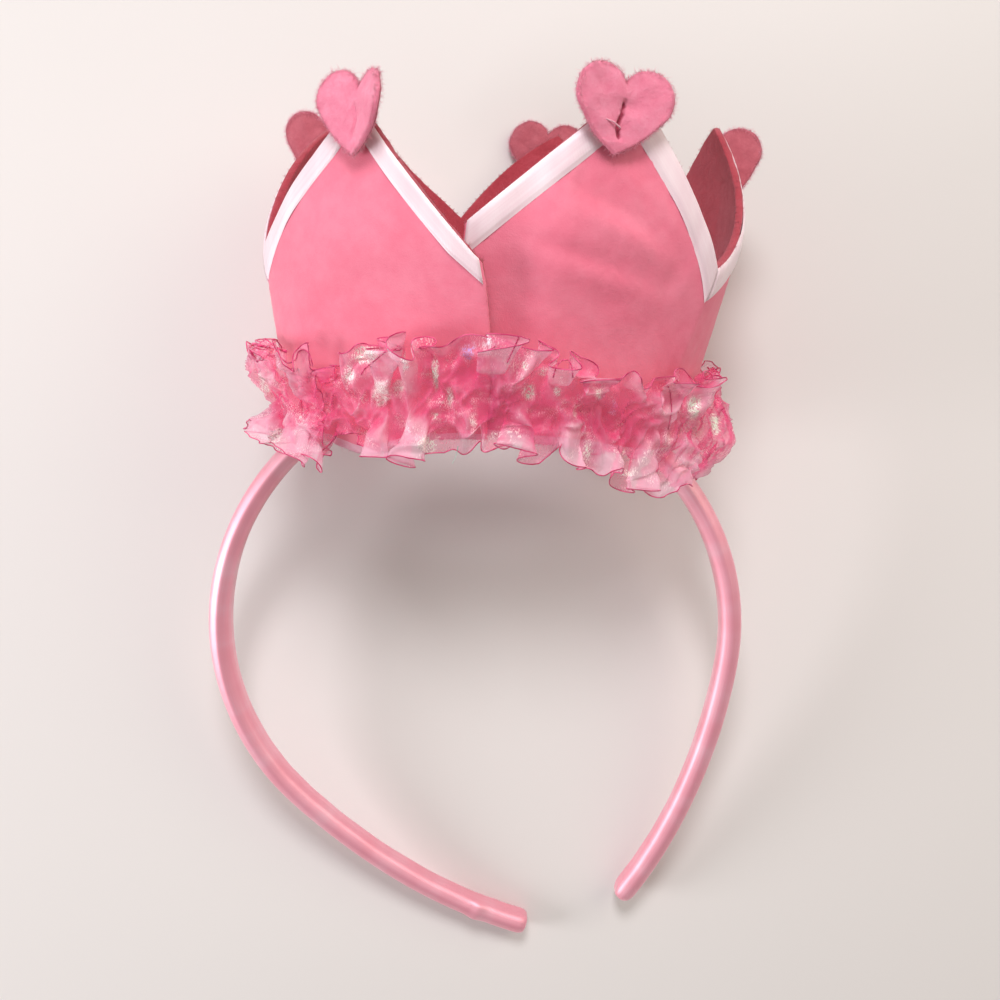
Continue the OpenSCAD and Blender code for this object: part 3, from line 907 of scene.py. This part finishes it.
def on_point(p, row, roll, lift, shift, closer):
    """Turns a heart's own point, right, up and out, and sets it on a point of the crown."""
    top = float(strip_top(np.array(row)))
    tip = strip_point(row, top, 0)
    up = unit(tip - strip_point(row, top - HEART_H / 2, 0))
    right = unit(np.cross(up, strip_point(row, top, 1) - tip))
    out = np.cross(right, up)
    s, c = sin_cos(roll)
    x = p[..., 0] * c + p[..., 1] * s + shift * HEART_W
    y = p[..., 1] * c - p[..., 0] * s + lift * HEART_H
    z = p[..., 2] + WALL / 2 + 2 * SEAT_GAP + RIBBON_T + HEART_T / 2 - closer
    return on_band(tip + x[..., None] * right + y[..., None] * up + z[..., None] * out)


def heart_groove(p, seed):
    """How far the felt is drawn in along the stitched crease, in mm."""
    foot, top = CREASE_ENDS
    x, y = p[..., 0], p[..., 1]
    run = smooth01((y - foot) / CREASE_FADE) * smooth01((top - y) / CREASE_FADE)
    off = x - CREASE_SWAY * np.sin(y * CREASE_TURN + seed)
    return run * sum(depth * bump_shape(off, width) for depth, width in CREASE_LINES)


def heart_form(name, row):
    """A flat heart's points, their height, and depth in the seam: rings, then two middles."""
    outline = heart_outline()
    ring = np.linspace(0, 1, HEART_RINGS + 1)[1:] ** RING_POWER
    turn = math.pi * (np.arange(HEART_RIM) + 0.5) / HEART_RIM
    scale = joined(ring, 1 + 0 * turn, ring[::-1])[:, None]
    off = joined(1 + 0 * ring, np.cos(turn), -1 + 0 * ring)[:, None]
    rim = joined(0 * ring, np.sin(turn), 0 * ring)[:, None]
    inset = HEART_EDGE / np.linalg.norm(outline, axis=1).mean()
    flat = (scale * (1 - inset) + rim * inset)[..., None] * outline
    depth = SOFT_CREASE.get(name, 1)
    groove = depth * heart_groove(flat, row)
    lumps = LUMP * soft_noise(vectors(flat[..., 0], flat[..., 1], 0), LUMP_SIZE, row)
    face = np.where(off > 0.5, 1, np.where(off < -0.5, -BACK_GROOVE, 0))
    height = HEART_T / 2 * off * (1 - DOME * scale ** DOME_POWER) + lumps - face * groove
    centre = np.zeros((1, 2))
    middle = depth * heart_groove(centre, row)
    flat = joined(flat.reshape(-1, 2), centre, centre)
    height = joined(height.ravel(), HEART_T / 2 - middle, BACK_GROOVE * middle - HEART_T / 2)
    # The seam's depth on the front darkens the felt there, as painted shade.
    seam = joined((groove * (off > 0)).ravel(), middle, 0 * middle)
    return flat, height, seam


def heart_faces(rows, cols):
    """Faces of a heart, and the material slot of each."""
    around = grid_faces(rows, cols, wrap=True)
    first, second, last = rows * cols, rows * cols + 1, (rows - 1) * cols
    front = [[first, (k + 1) % cols, k] for k in range(cols)]
    back = [[second, last + k, last + (k + 1) % cols] for k in range(cols)]
    seen = (HEART_RINGS + HEART_RIM // 2) * cols
    slots = [FRONT_SLOT] * seen + [BACK_SLOT] * (len(around) - seen)
    return around + front + back, slots + [FRONT_SLOT] * cols + [BACK_SLOT] * cols


def make_stitch(name, left, right, place):
    """One stitch across a heart's crease."""
    t = np.linspace(0, 1, 15)
    arch = np.sin(math.pi * t)
    start, end = np.array(STITCH_ENDS)
    path = start + (end - start) * t[:, None]
    path[:, 1] += STITCH_ARCH[0] * arch
    height = HEART_T / 2 - STITCH_SUNK + STITCH_ARCH[1] * arch
    line = lying(on_point(fold_heart(path, height, left, right), *place))
    tube_piece(f"heart_stitch_{name}", "heart_felt", line, STITCH_R, 8, STITCH_THREAD)


def make_heart(name, row, left, right, *turn_and_shift):
    place = (row, *turn_and_shift)
    flat, height, seam = heart_form(name, row)
    points = on_point(fold_heart(flat, height, left, right), *place)
    faces, slots = heart_faces(2 * HEART_RINGS + HEART_RIM, len(heart_outline()))
    heart = make_piece(f"heart_felt_{name}", "heart_felt", lying(points), faces,
                       HEART_FELT, HEART_BACK, node=f"heart_{name}", faces_by=slots,
                       seam=vectors(seam, 0, 0))
    if name not in SOFT_CREASE:
        make_stitch(name, left, right, place)
    return heart


# Loose felt fibres

# A fibre's rings: shares of its length and their radii in mm
FIBRE_STEPS = np.array([-0.15, 0.5, 1.0])
FIBRE_RADII = np.array([0.028, 0.022, 0.006])
FIBRE_SIDES = 3
FIBRE_SCATTER = 0.15
FIBRE_LEAN = 0.75
FIBRE_CURL = 0.8
FIBRE_BEND = 0.4
FIBRE_SHORTEST = 0.35
FIBRE_POWER = 1.5
# The crown's foot is fuzzy this far to each side, in metres
FUZZY_FOOT = 0.045


def make_fuzz(name, felt, where, count, length_mm, seed, slot, material):
    """Short curved fibres that stand out of a felt piece, at some of its mesh's points."""
    roots, outward = (values[where] for values in surface_of(felt))
    rng = np.random.default_rng(seed)
    pick = rng.integers(0, len(roots), count)
    base = roots[pick] + rng.normal(scale=FIBRE_SCATTER * MM, size=(count, 3))
    lean = unit(outward[pick] + rng.normal(scale=FIBRE_LEAN, size=(count, 3)))
    curl = rng.normal(scale=FIBRE_CURL, size=(count, 3))
    share = rng.uniform(FIBRE_SHORTEST, 1, size=(count, 1)) ** FIBRE_POWER
    length = length_mm * MM * share
    side = unit(np.cross(lean, rng.normal(size=(count, 3))))
    step = FIBRE_STEPS[:, None]
    bend = FIBRE_BEND * curl[:, None] * step ** 2
    line = base[:, None] + length[:, None] * (lean[:, None] * step + bend)
    ring = ring_round(lean, side, FIBRE_SIDES)
    points = line[:, :, None] + ring[:, None] * FIBRE_RADII[:, None, None] * MM
    one = tube_faces(len(FIBRE_STEPS), FIBRE_SIDES)
    size = len(FIBRE_STEPS) * FIBRE_SIDES
    faces = [[size * k + v for v in face] for k in range(count) for face in one]
    make_piece(name, slot, points, faces, material)


def surface_of(obj):
    """Points and outward directions of a piece's mesh."""
    points = np.array([vertex.co for vertex in obj.data.vertices])
    return points, np.array([normal.vector for normal in obj.data.vertex_normals])


# Ruffle

# Half the width of its ribbon, and other sizes in mm
RUFFLE_HALF = 13.5
RUFFLE_STEPS = 1100
RUFFLE_ACROSS = 36
NEAR = WALL / 2 + 0.35
BAND_CLEAR = 2
LEAST_CLEAR = 0.5
EDGE_R = 0.14
EDGE_STEPS = 60
RUFFLE_START = -57
RUFFLE_END = 314

# Columns: angle of a fold's crest, tilt away from the crown, lean to the right in mm, and reach
# as a share of the ribbon's half height
CREST, TILT, LEAN, REACH = range(4)
UPPER_FOLDS = np.array([
    (-53, 12, 0, 0.5), (-43, 10, 0, 0.5), (-33, 22, -1, 0.88), (-25, 28, 1.5, 0.96),
    (-18, 32, -0.5, 0.98), (-10, 20, -3, 0.88), (-1, 22, 2.5, 0.96), (6, 20, 3.5, 0.94),
    (15.5, 28, 0.5, 0.78), (25, 16, 0, 0.6), (36, 26, -1, 0.74), (47, 34, 1, 0.92),
    (60, 30, 0, 0.98), (75, 6, 0.5, 1), (92, 8, 0, 0.96), (110, 40, 0, 0.95),
    (128, 44, -1, 1), (148, 40, 1, 0.95), (168, 36, 0, 1), (188, 42, 1, 0.95),
    (208, 40, 0, 1), (228, 36, 0, 0.85), (247, 30, 0, 0.7), (264, 32, 0, 0.66),
    (281, 18, 1, 0.85), (296, 34, -1.5, 0.86), (308, 24, 1.5, 0.84),
])
LOWER_FOLDS = np.array([
    (-52, 24, 0.5, 1.02), (-38, 8, 0, 0.6), (-26, 22, -1, 0.96), (-16, 30, -1.5, 1.1),
    (-5, 18, 1, 0.84), (7, 18, -0.5, 0.82), (22, 24, 1, 0.92), (33, 30, 1.5, 1),
    (45, 36, -2, 1.2), (60, 30, 1, 0.98), (77, 6, 0, 0.95), (95, 14, 0, 0.95),
    (113, 44, 0, 1), (132, 42, 0, 0.95), (152, 46, 1, 1), (172, 36, 0, 1),
    (192, 44, -1, 0.95), (212, 42, 0, 1), (232, 48, 0, 0.95), (250, 50, 0, 0.85),
    (268, 50, 0, 0.88), (286, 44, 0, 0.95), (302, 30, 0.5, 0.92),
])

# Sharper creases across the ruffle. Columns: angle and share across it of each end, half width
# and height in mm
RUFFLE_CREASES = (
    (-15.5, 0.85, -3.5, -0.1, 0.9, 1.5), (-18, 1, -19, 0.35, 0.7, 1),
    (-31, -0.1, -36, 0.8, 1, 0.9), (-25, 0.6, -21, -0.3, 1, 1),
    (2, 0.9, 5.5, 0.1, 0.8, 0.9), (-22, -0.25, -14, -0.9, 0.9, 1.2),
    (-4, -0.2, -6, -0.8, 1, 0.9), (12, 0.5, 22, -0.4, 1, 1),
    (30, 0.3, 27, -0.8, 1, 1), (39, 0.9, 43, 0, 0.8, 1),
    (50, 0.3, 44, -0.7, 1, 1.1), (64, 0.8, 58, -0.6, 1, 1),
    (285, 0.9, 300, 0.1, 0.9, 1), (290, -0.2, 280, -0.9, 1, 1.1),
)
DEGREE_MM = 0.82
CLOTH_DEGREE_MM = 1.3

# The form of each fold: sway, bulge and slant of its edge
FOLD_SWAY = 0.5
CREST_POWER = 0.8
FOLD_BULGE = 1.5
BULGE_RANGE = 1.3
EDGE_SLANT = 1.6
GATHER_WAVE = 0.5
EDGE_WAVE = 0.9
WARP = 1.6
OVERLAP = 1.4
OVERLAP_DEGREES = 16
OVERLAP_EASE = 6

# How far the cloth stands out all round and, between two angles, at the right and the left side.
# Columns: height in mm, angle, width, share across its middle, reach from there and power
STAND = 1.3
SIDE_STANDS = ((10.3, 84, 24, -0.2, 1, 1.3), (3.6, 282, 16, 0.4, 0.6, 1.5))
STAND_FULL = 6


def fold_value(phase, folds, column):
    """A column of folds at a place counted in folds, blended between neighbouring crests."""
    at = np.clip(phase - 0.5, 0, len(folds) - 1.001)
    i = np.floor(at).astype(int)
    t = smooth01((at - i - 0.2) / 0.6)
    return folds[i, column] * (1 - t) + folds[i + 1, column] * t


def fold_phase(angle, folds):
    """The place of an angle round the crown, counted in folds."""
    crests = folds[:, CREST]
    edges = joined([RUFFLE_START], (crests[1:] + crests[:-1]) / 2, [RUFFLE_END])
    return np.interp(angle, edges, np.arange(len(edges)))


def gather_height(angle):
    return (RUFFLE_GATHER_H + RUFFLE_ARCH * np.maximum(0, cos_deg(angle)) ** ARCH_POWER
            - RUFFLE_SLANT * sin_deg(angle) + GATHER_WAVE * sin_deg(4 * angle))


def above_floor(p):
    lifted = np.maximum(p[..., 2], LEAST_CLEAR - floor_depth(p[..., 1]))
    return vectors(p[..., 0], p[..., 1], lifted)


def outside_band(p):
    close = np.abs(p[..., 2]) < BAND_BREADTH / 2 + BAND_CLEAR
    radius = np.linalg.norm(p[..., :2], axis=-1)
    out = np.where(close, np.maximum(1, (BAND_OUTER_R + LEAST_CLEAR) / radius), 1)
    return vectors(p[..., 0] * out, p[..., 1] * out, p[..., 2])


def ridged(points, size, seed):
    """Noise with sharp crests, from 0 to about 1."""
    return 1 - np.minimum(1, np.abs(soft_noise(points, size, seed, 6)))


def fold_fields(angle, reach, folds, seed):
    """Slant of the edge, tilt, sideways shift and reach of one side of the ruffle."""
    phase = fold_phase(angle, folds)
    number = np.floor(phase)
    within = phase - number
    sway = FOLD_SWAY * np.sin(1.7 * phase + seed) * np.sin(math.pi * within) ** 2
    f = 2 * math.pi * within + sway * reach
    crest = ((1 - np.cos(f)) / 2) ** CREST_POWER
    tilt = fold_value(phase, folds, TILT) * (0.1 + 0.9 * crest)
    bulge = (FOLD_BULGE + BULGE_RANGE * np.sin(2.3 * number + seed)) * np.sin(2 * f)
    side = bulge * reach ** 1.2 + fold_value(phase, folds, LEAN) * crest * reach ** 1.4
    slant = EDGE_SLANT * np.sin(5.1 * number + seed) * np.sin(f)
    return slant, tilt, side, fold_value(phase, folds, REACH)


def crease_lift(angle, v):
    """How far the ruffle's creases stand out, in mm."""
    p = vectors(angle * DEGREE_MM, v * RUFFLE_HALF)
    lift = 0 * angle
    for *ends, width, height in RUFFLE_CREASES:
        a, b = np.reshape(ends, (2, 2)) * (DEGREE_MM, RUFFLE_HALF)
        t = np.clip((p - a) @ (b - a) / ((b - a) @ (b - a)), 0, 1)
        near = np.linalg.norm(p - a - t[..., None] * (b - a), axis=-1)
        lift = np.maximum(lift, height * np.exp(-near / width))
    return lift


def crumples(flat, reach):
    """How far the cloth's own puffs and small folds stand out, in mm, at flat points in mm."""
    warp = (soft_noise(flat, size=12, seed=seed, waves=6) for seed in (31, 32))
    bent = flat + WARP * vectors(*warp, 0)
    puffs = (soft_noise(bent, size=12, seed=21, waves=8) + 1.5 * ridged(bent, size=10, seed=22)
             + 0.3 * soft_noise(bent, size=4, seed=27))
    folded = 1.3 * ridged(bent * (1, 0.8, 1), size=5.5, seed=24)
    return puffs * (0.55 + 0.45 * reach ** 0.7) + folded * (1 - 0.5 * reach)


def ruffle_points(angle, v):
    """Points of the gathered sheet, in the band's frame, at angles and shares across it."""
    angle, v = np.broadcast_arrays(np.asarray(angle, float), np.asarray(v, float))
    reach = np.abs(v)
    above = fold_fields(angle, reach, UPPER_FOLDS, seed=0.4)
    below = fold_fields(angle, reach, LOWER_FOLDS, seed=2.1)
    slant, tilt, side, length = (np.where(v > 0, a, b) for a, b in zip(above, below))
    half = RUFFLE_HALF * (1 + (length - 1) * reach ** 0.5) * reach
    bend = tilt * (0.5 + 0.5 * reach)
    lap = smooth01((angle - RUFFLE_END + OVERLAP_DEGREES) / OVERLAP_EASE)
    overlap = OVERLAP * lap * (0.4 + reach)
    turned = angle + np.degrees(side / (0.5 * (FOOT_HALF_W + FOOT_FRONT)))
    flat = vectors(angle * CLOTH_DEGREE_MM, v * RUFFLE_HALF, 0)
    stand = STAND
    for height, at, width, middle, wide, power in SIDE_STANDS:
        across = np.maximum(0, 1 - np.abs((v - middle) / wide) ** power)
        stand = stand + height * bump_shape(angle - at, width) * across
    off = NEAR + half * sin_deg(bend) + overlap + crumples(flat, reach) + crease_lift(angle, v)
    off = np.maximum(NEAR + overlap, off + stand)
    h = gather_height(angle) + np.sign(v) * half * cos_deg(bend)
    h = h + (EDGE_WAVE * soft_noise(flat, size=7, seed=23) + slant) * reach
    return above_floor(outside_band(on_band(ring_point(turned, h, off)))), off - stand


# Patches where the cloth catches the light, painted as highlight: the organza's colour is
# lightened there. Columns: middle and half size in mm, strength, hue
PAINTED_GLINTS = (
    (-51.5, 34, 1.7, 2.4, 0.8, 0.5), (-46.5, 39, 0.8, 1.9, 0.5, 0.35),
    (-48.5, 21, 2.4, 2.8, 1, 0.5), (-35.5, 15, 1.3, 1.1, 0.8, 0.6),
    (-24.5, 38, 3.4, 1.9, 1, 0.45), (-28.5, 34, 1.5, 2.1, 0.8, 0.5),
    (-21.5, 30, 2.1, 2.5, 0.95, 0.5), (-15.5, 36, 0.8, 2.5, 1, 0.55),
    (-17.5, 31, 1.7, 2.1, 0.6, 0.5), (-9.5, 34, 0.8, 3.4, 0.9, 0.4),
    (-6.5, 29, 0.8, 1.9, 0.8, 0.45), (-2.5, 38, 1.7, 1.9, 0.8, 0.95),
    (1.5, 39, 1.3, 2.5, 0.8, 0.6), (-11.5, 19, 1.9, 1.9, 1, 0.45),
    (-9.5, 25, 1.1, 1.1, 0.7, 0.3), (-1.5, 23, 0.8, 2.5, 0.6, 0.5),
    (3.5, 21, 1.5, 0.8, 0.7, 0.5), (10.5, 30, 1.5, 2.1, 0.7, 0.35),
    (9.5, 35, 1.1, 1.1, 0.6, 0.3), (13.5, 34, 1.1, 1.1, 0.5, 0.35),
    (16.5, 30, 0.8, 1.1, 0.7, 0.5), (25.5, 30, 0.8, 1.3, 0.8, 0.35),
    (20.5, 26, 0.8, 1.7, 0.45, 0.4), (23.5, 18, 1.3, 2.5, 0.7, 0.35),
    (33.5, 13, 1.7, 0.8, 1, 0.4), (32.5, 17, 1.7, 2.1, 0.4, 0.5),
    (48.5, 28, 1.8, 2.5, 0.95, 0.3), (55.5, 25, 1.4, 2.9, 0.95, 0.3),
    (42.5, 21, 1.7, 2.8, 0.45, 0.5), (42.5, 33, 0.9, 1.9, 0.5, 0.5),
    (29.5, 27, 1.1, 1.7, 0.3, 0.9),
)


def painted_glints(points):
    """Strength of the painted highlight patches at points in metres, and their hue from green to
    violet.
    """
    right, up = points[..., 0] / MM, points[..., 1] / MM
    total = 0 * right
    hue = 0.5 + total
    for x, y, half_x, half_y, strength, shade in PAINTED_GLINTS:
        near = ((right - x) / half_x) ** 2 + ((up - y) / half_y) ** 2
        patch = np.exp(-near ** 1.5)
        total = np.maximum(total, strength * patch)
        hue = hue + (shade - 0.5) * patch
    return total, hue


# Lines of the ribbon's edge seen on the ruffle where it doubles over: their radius, and their
# points x, y in mm where the lines of sight to the camera pass a plane over the ruffle. A sight
# that first meets the ruffle lower than its front is left out
SIGHT_PLANE = 45
LEAST_FRONT = 42
DOUBLED_EDGES = (
    (0.15, (-20.7, 43.1), (-23.4, 42.4), (-26.0, 40.2), (-28.6, 38.1), (-29.1, 36.9)),
    (0.15, (8.8, 46.2), (7.9, 43.9), (6.0, 39.8)),
    (0.15, (17.0, 36.2), (17.8, 39.0), (19.2, 40.5), (20.9, 40.5), (21.6, 38.6), (21.8, 36.2)),
    (0.13, (44.0, 35.7), (45.2, 32.8), (45.6, 28.5), (44.7, 23.7)),
    (0.16, (-49.3, 43.6), (-48.6, 41.2), (-46.7, 39.5), (-44.7, 40.5), (-44.3, 42.6),
     (-42.8, 43.1), (-41.4, 41.9), (-40.7, 39.0)),
)
LOOSE_LOOP = ((-46.9, 42.4), (-49.8, 43.4), (-52.9, 43.8), (-55.1, 44.5), (-56.0, 43.4),
              (-54.8, 41.0), (-53.9, 40.2))
LOOP_R = 0.34
LOOSE_THREAD = ((-5.8, 19.8), (-6.1, 18.2), (-6.5, 16.9), (-7.2, 15.6))
LOOSE_THREAD_R = 0.09
SHEET_SLOT = "ruffle_organza"


def smooth_line(points, count):
    """A flat line through a few points, rounded at each of them."""
    points = np.asarray(points, float)
    at = run_along(points)
    t = np.linspace(0, at[-1], count)
    return smoothed(vectors(*(np.interp(t, at, part) for part in points.T)), 3)


def on_sheet(tree, line, count, over_mm):
    """Points in metres where lines of sight through a flat line first meet the ruffle."""
    line = smooth_line(line, count)
    camera = np.array(CAMERA_AT)
    depth = CAMERA_AT[2] - SIGHT_PLANE * MM
    through = vectors(*line.T, SIGHT_PLANE) * MM
    share = np.full(len(line), np.nan)
    for k, point in enumerate(through):
        hit = tree.ray_cast(Vector(camera), Vector(unit(point - camera)))[0]
        if hit and hit[2] > LEAST_FRONT * MM:
            share[k] = (CAMERA_AT[2] - hit[2]) / depth
    known = np.flatnonzero(~np.isnan(share))
    share = smoothed(np.interp(np.arange(len(line)), known, share[known]), 4)
    return camera + (through - camera) * share[:, None] + (0, 0, over_mm * MM)


def make_edges(angle, laid, faces):
    """Makes the ribbon's sewn edge with its doubled and loose lengths, and a loose thread."""
    across = np.linspace(-1, 1, EDGE_STEPS)
    lines = (("upper", angle, 1), ("lower", angle, -1),
             ("start", RUFFLE_START, across), ("end", RUFFLE_END, across))
    edges = []
    for name, at, share in lines:
        path = lying(ruffle_points(at, share)[0])
        edges.append(tube_piece(f"ruffle_edge_{name}", SHEET_SLOT, path, EDGE_R, 7, EDGE_THREAD))
    tree = BVHTree.FromPolygons([Vector(p) for p in laid.reshape(-1, 3)], faces)
    for number, (radius, *line) in enumerate(DOUBLED_EDGES, 1):
        name = f"ruffle_fold_edge_{number}"
        path = on_sheet(tree, line, 40, 0.1)
        edges.append(tube_piece(name, SHEET_SLOT, path, radius, 6, EDGE_THREAD))
    loop = on_sheet(tree, LOOSE_LOOP, 50, 0.2)
    edges.append(tube_piece("ruffle_loose_loop", SHEET_SLOT, loop, LOOP_R, 8, EDGE_THREAD))
    thread = on_sheet(tree, LOOSE_THREAD, 24, 0.1)
    tube_piece("loose_thread", SHEET_SLOT, thread, LOOSE_THREAD_R, 5, PALE_THREAD)
    return edges


def make_ruffle():
    angle = np.linspace(RUFFLE_START, RUFFLE_END, RUFFLE_STEPS + 1)
    v = np.linspace(-1, 1, RUFFLE_ACROSS + 1)
    points, off = ruffle_points(angle[:, None], v)
    laid = lying(points)
    faces = grid_faces(*off.shape)
    cloth = vectors(run_along(points[:, -1])[:, None], v * RUFFLE_HALF, 0)
    # Its third part is painted shade: how far the cloth stands from the crown, lighter farther
    # out.
    shine = vectors(*painted_glints(laid), smooth01((off - NEAR) / STAND_FULL))
    sheet = make_piece("ruffle_organza", SHEET_SLOT, laid, faces, ORGANZA,
                       node="ruffle", cloth=cloth, shine=shine)
    edges = make_edges(angle, laid, faces)


# Floor, lights and camera

# Columns: name, place in metres, size in metres, power in watts, colour
LIGHTS = (
    ("key", (-0.02, 0.44, 0.6), 0.25, 3.1, (1, 0.97, 1.0)),
    ("side", (-0.6, -0.12, 0.24), 0.26, 2.2, (1, 0.97, 1.0)),
    ("fill", (0.5, 0.26, 0.45), 0.5, 1.25, (1, 0.88, 0.72)),
)
LIGHT_AIM = (0.0, 0.04, 0.03)
WORLD_COLOUR = (1, 0.95, 0.92, 1)
WORLD_STRENGTH = 0.36
FLOOR_HALF = 4


def make_stage():
    size = FLOOR_HALF
    points = np.array([(-size, -size, 0), (size, -size, 0), (size, size, 0), (-size, size, 0)])
    s = Shader("floor_paint", Roughness=0.9, Specular_IOR_Level=0.1)
    tone = s.ramp(s.noise(400), (0.3, "DEDBD8"), (0.7, "E4E1DE"))
    floor = make_object("floor", points, [[0, 1, 2, 3]], [s.give(Base_Color=tone)])


def make_light(name, at, size, power, colour):
    data = bpy.data.lights.new(name, "AREA")
    data.shape = "DISK"
    data.size = size
    data.energy = power
    data.color = colour
    light = place_object(name, data, at)
    aim = np.array(LIGHT_AIM) - np.array(at)
    light.rotation_mode = "QUATERNION"
    light.rotation_quaternion = Vector(aim).to_track_quat("-Z", "Y")


def make_camera():
    data = bpy.data.cameras.new("camera")
    data.lens = CAMERA_LENS
    data.sensor_width = CAMERA_SENSOR
    data.clip_start = 0.01
    bpy.context.scene.camera = place_object("camera", data, CAMERA_AT)


def make_world():
    world = bpy.data.worlds.new("studio")
    world.use_nodes = True
    background = world.node_tree.nodes["Background"]
    background.inputs["Color"].default_value = WORLD_COLOUR
    background.inputs["Strength"].default_value = WORLD_STRENGTH
    bpy.context.scene.world = world
    bpy.context.scene.view_settings.view_transform = "Standard"


make_camera()
make_world()
make_stage()
for light in LIGHTS:
    make_light(*light)

make_headband()
crown = make_crown()
for name, row, *_ in POINTS:
    make_ribbon(name, row)
hearts = [make_heart(*point) for point in POINTS]
make_ruffle()

outline_points = len(heart_outline())
heart_rim = slice(HEART_RINGS * outline_points, (HEART_RINGS + HEART_RIM) * outline_points)
for number, heart in enumerate(hearts):
    make_fuzz(heart.name + "_fuzz", heart, heart_rim, count=3200, length_mm=0.9,
              seed=30 + number, slot="heart_felt", material=FUZZ)

# The crown's points in the order of its section: up the outside, over the rim and back
roots = surface_of(crown)[0]
section = 2 * (WALL_ROWS + RIM_STEPS + 1)
at = np.arange(len(roots)) % section
crown_rim = (at > WALL_ROWS) & (at <= WALL_ROWS + RIM_STEPS)
crown_foot = (at > section - RIM_STEPS - 2) & (np.abs(roots[:, 0]) < FUZZY_FOOT)
make_fuzz("crown_rim_fuzz", crown, crown_rim, count=5000, length_mm=0.7,
          seed=41, slot="crown_felt", material=HEART_BACK)
make_fuzz("crown_foot_fuzz", crown, crown_foot, count=2500, length_mm=0.9,
          seed=42, slot="crown_felt", material=FOOT_FELT)
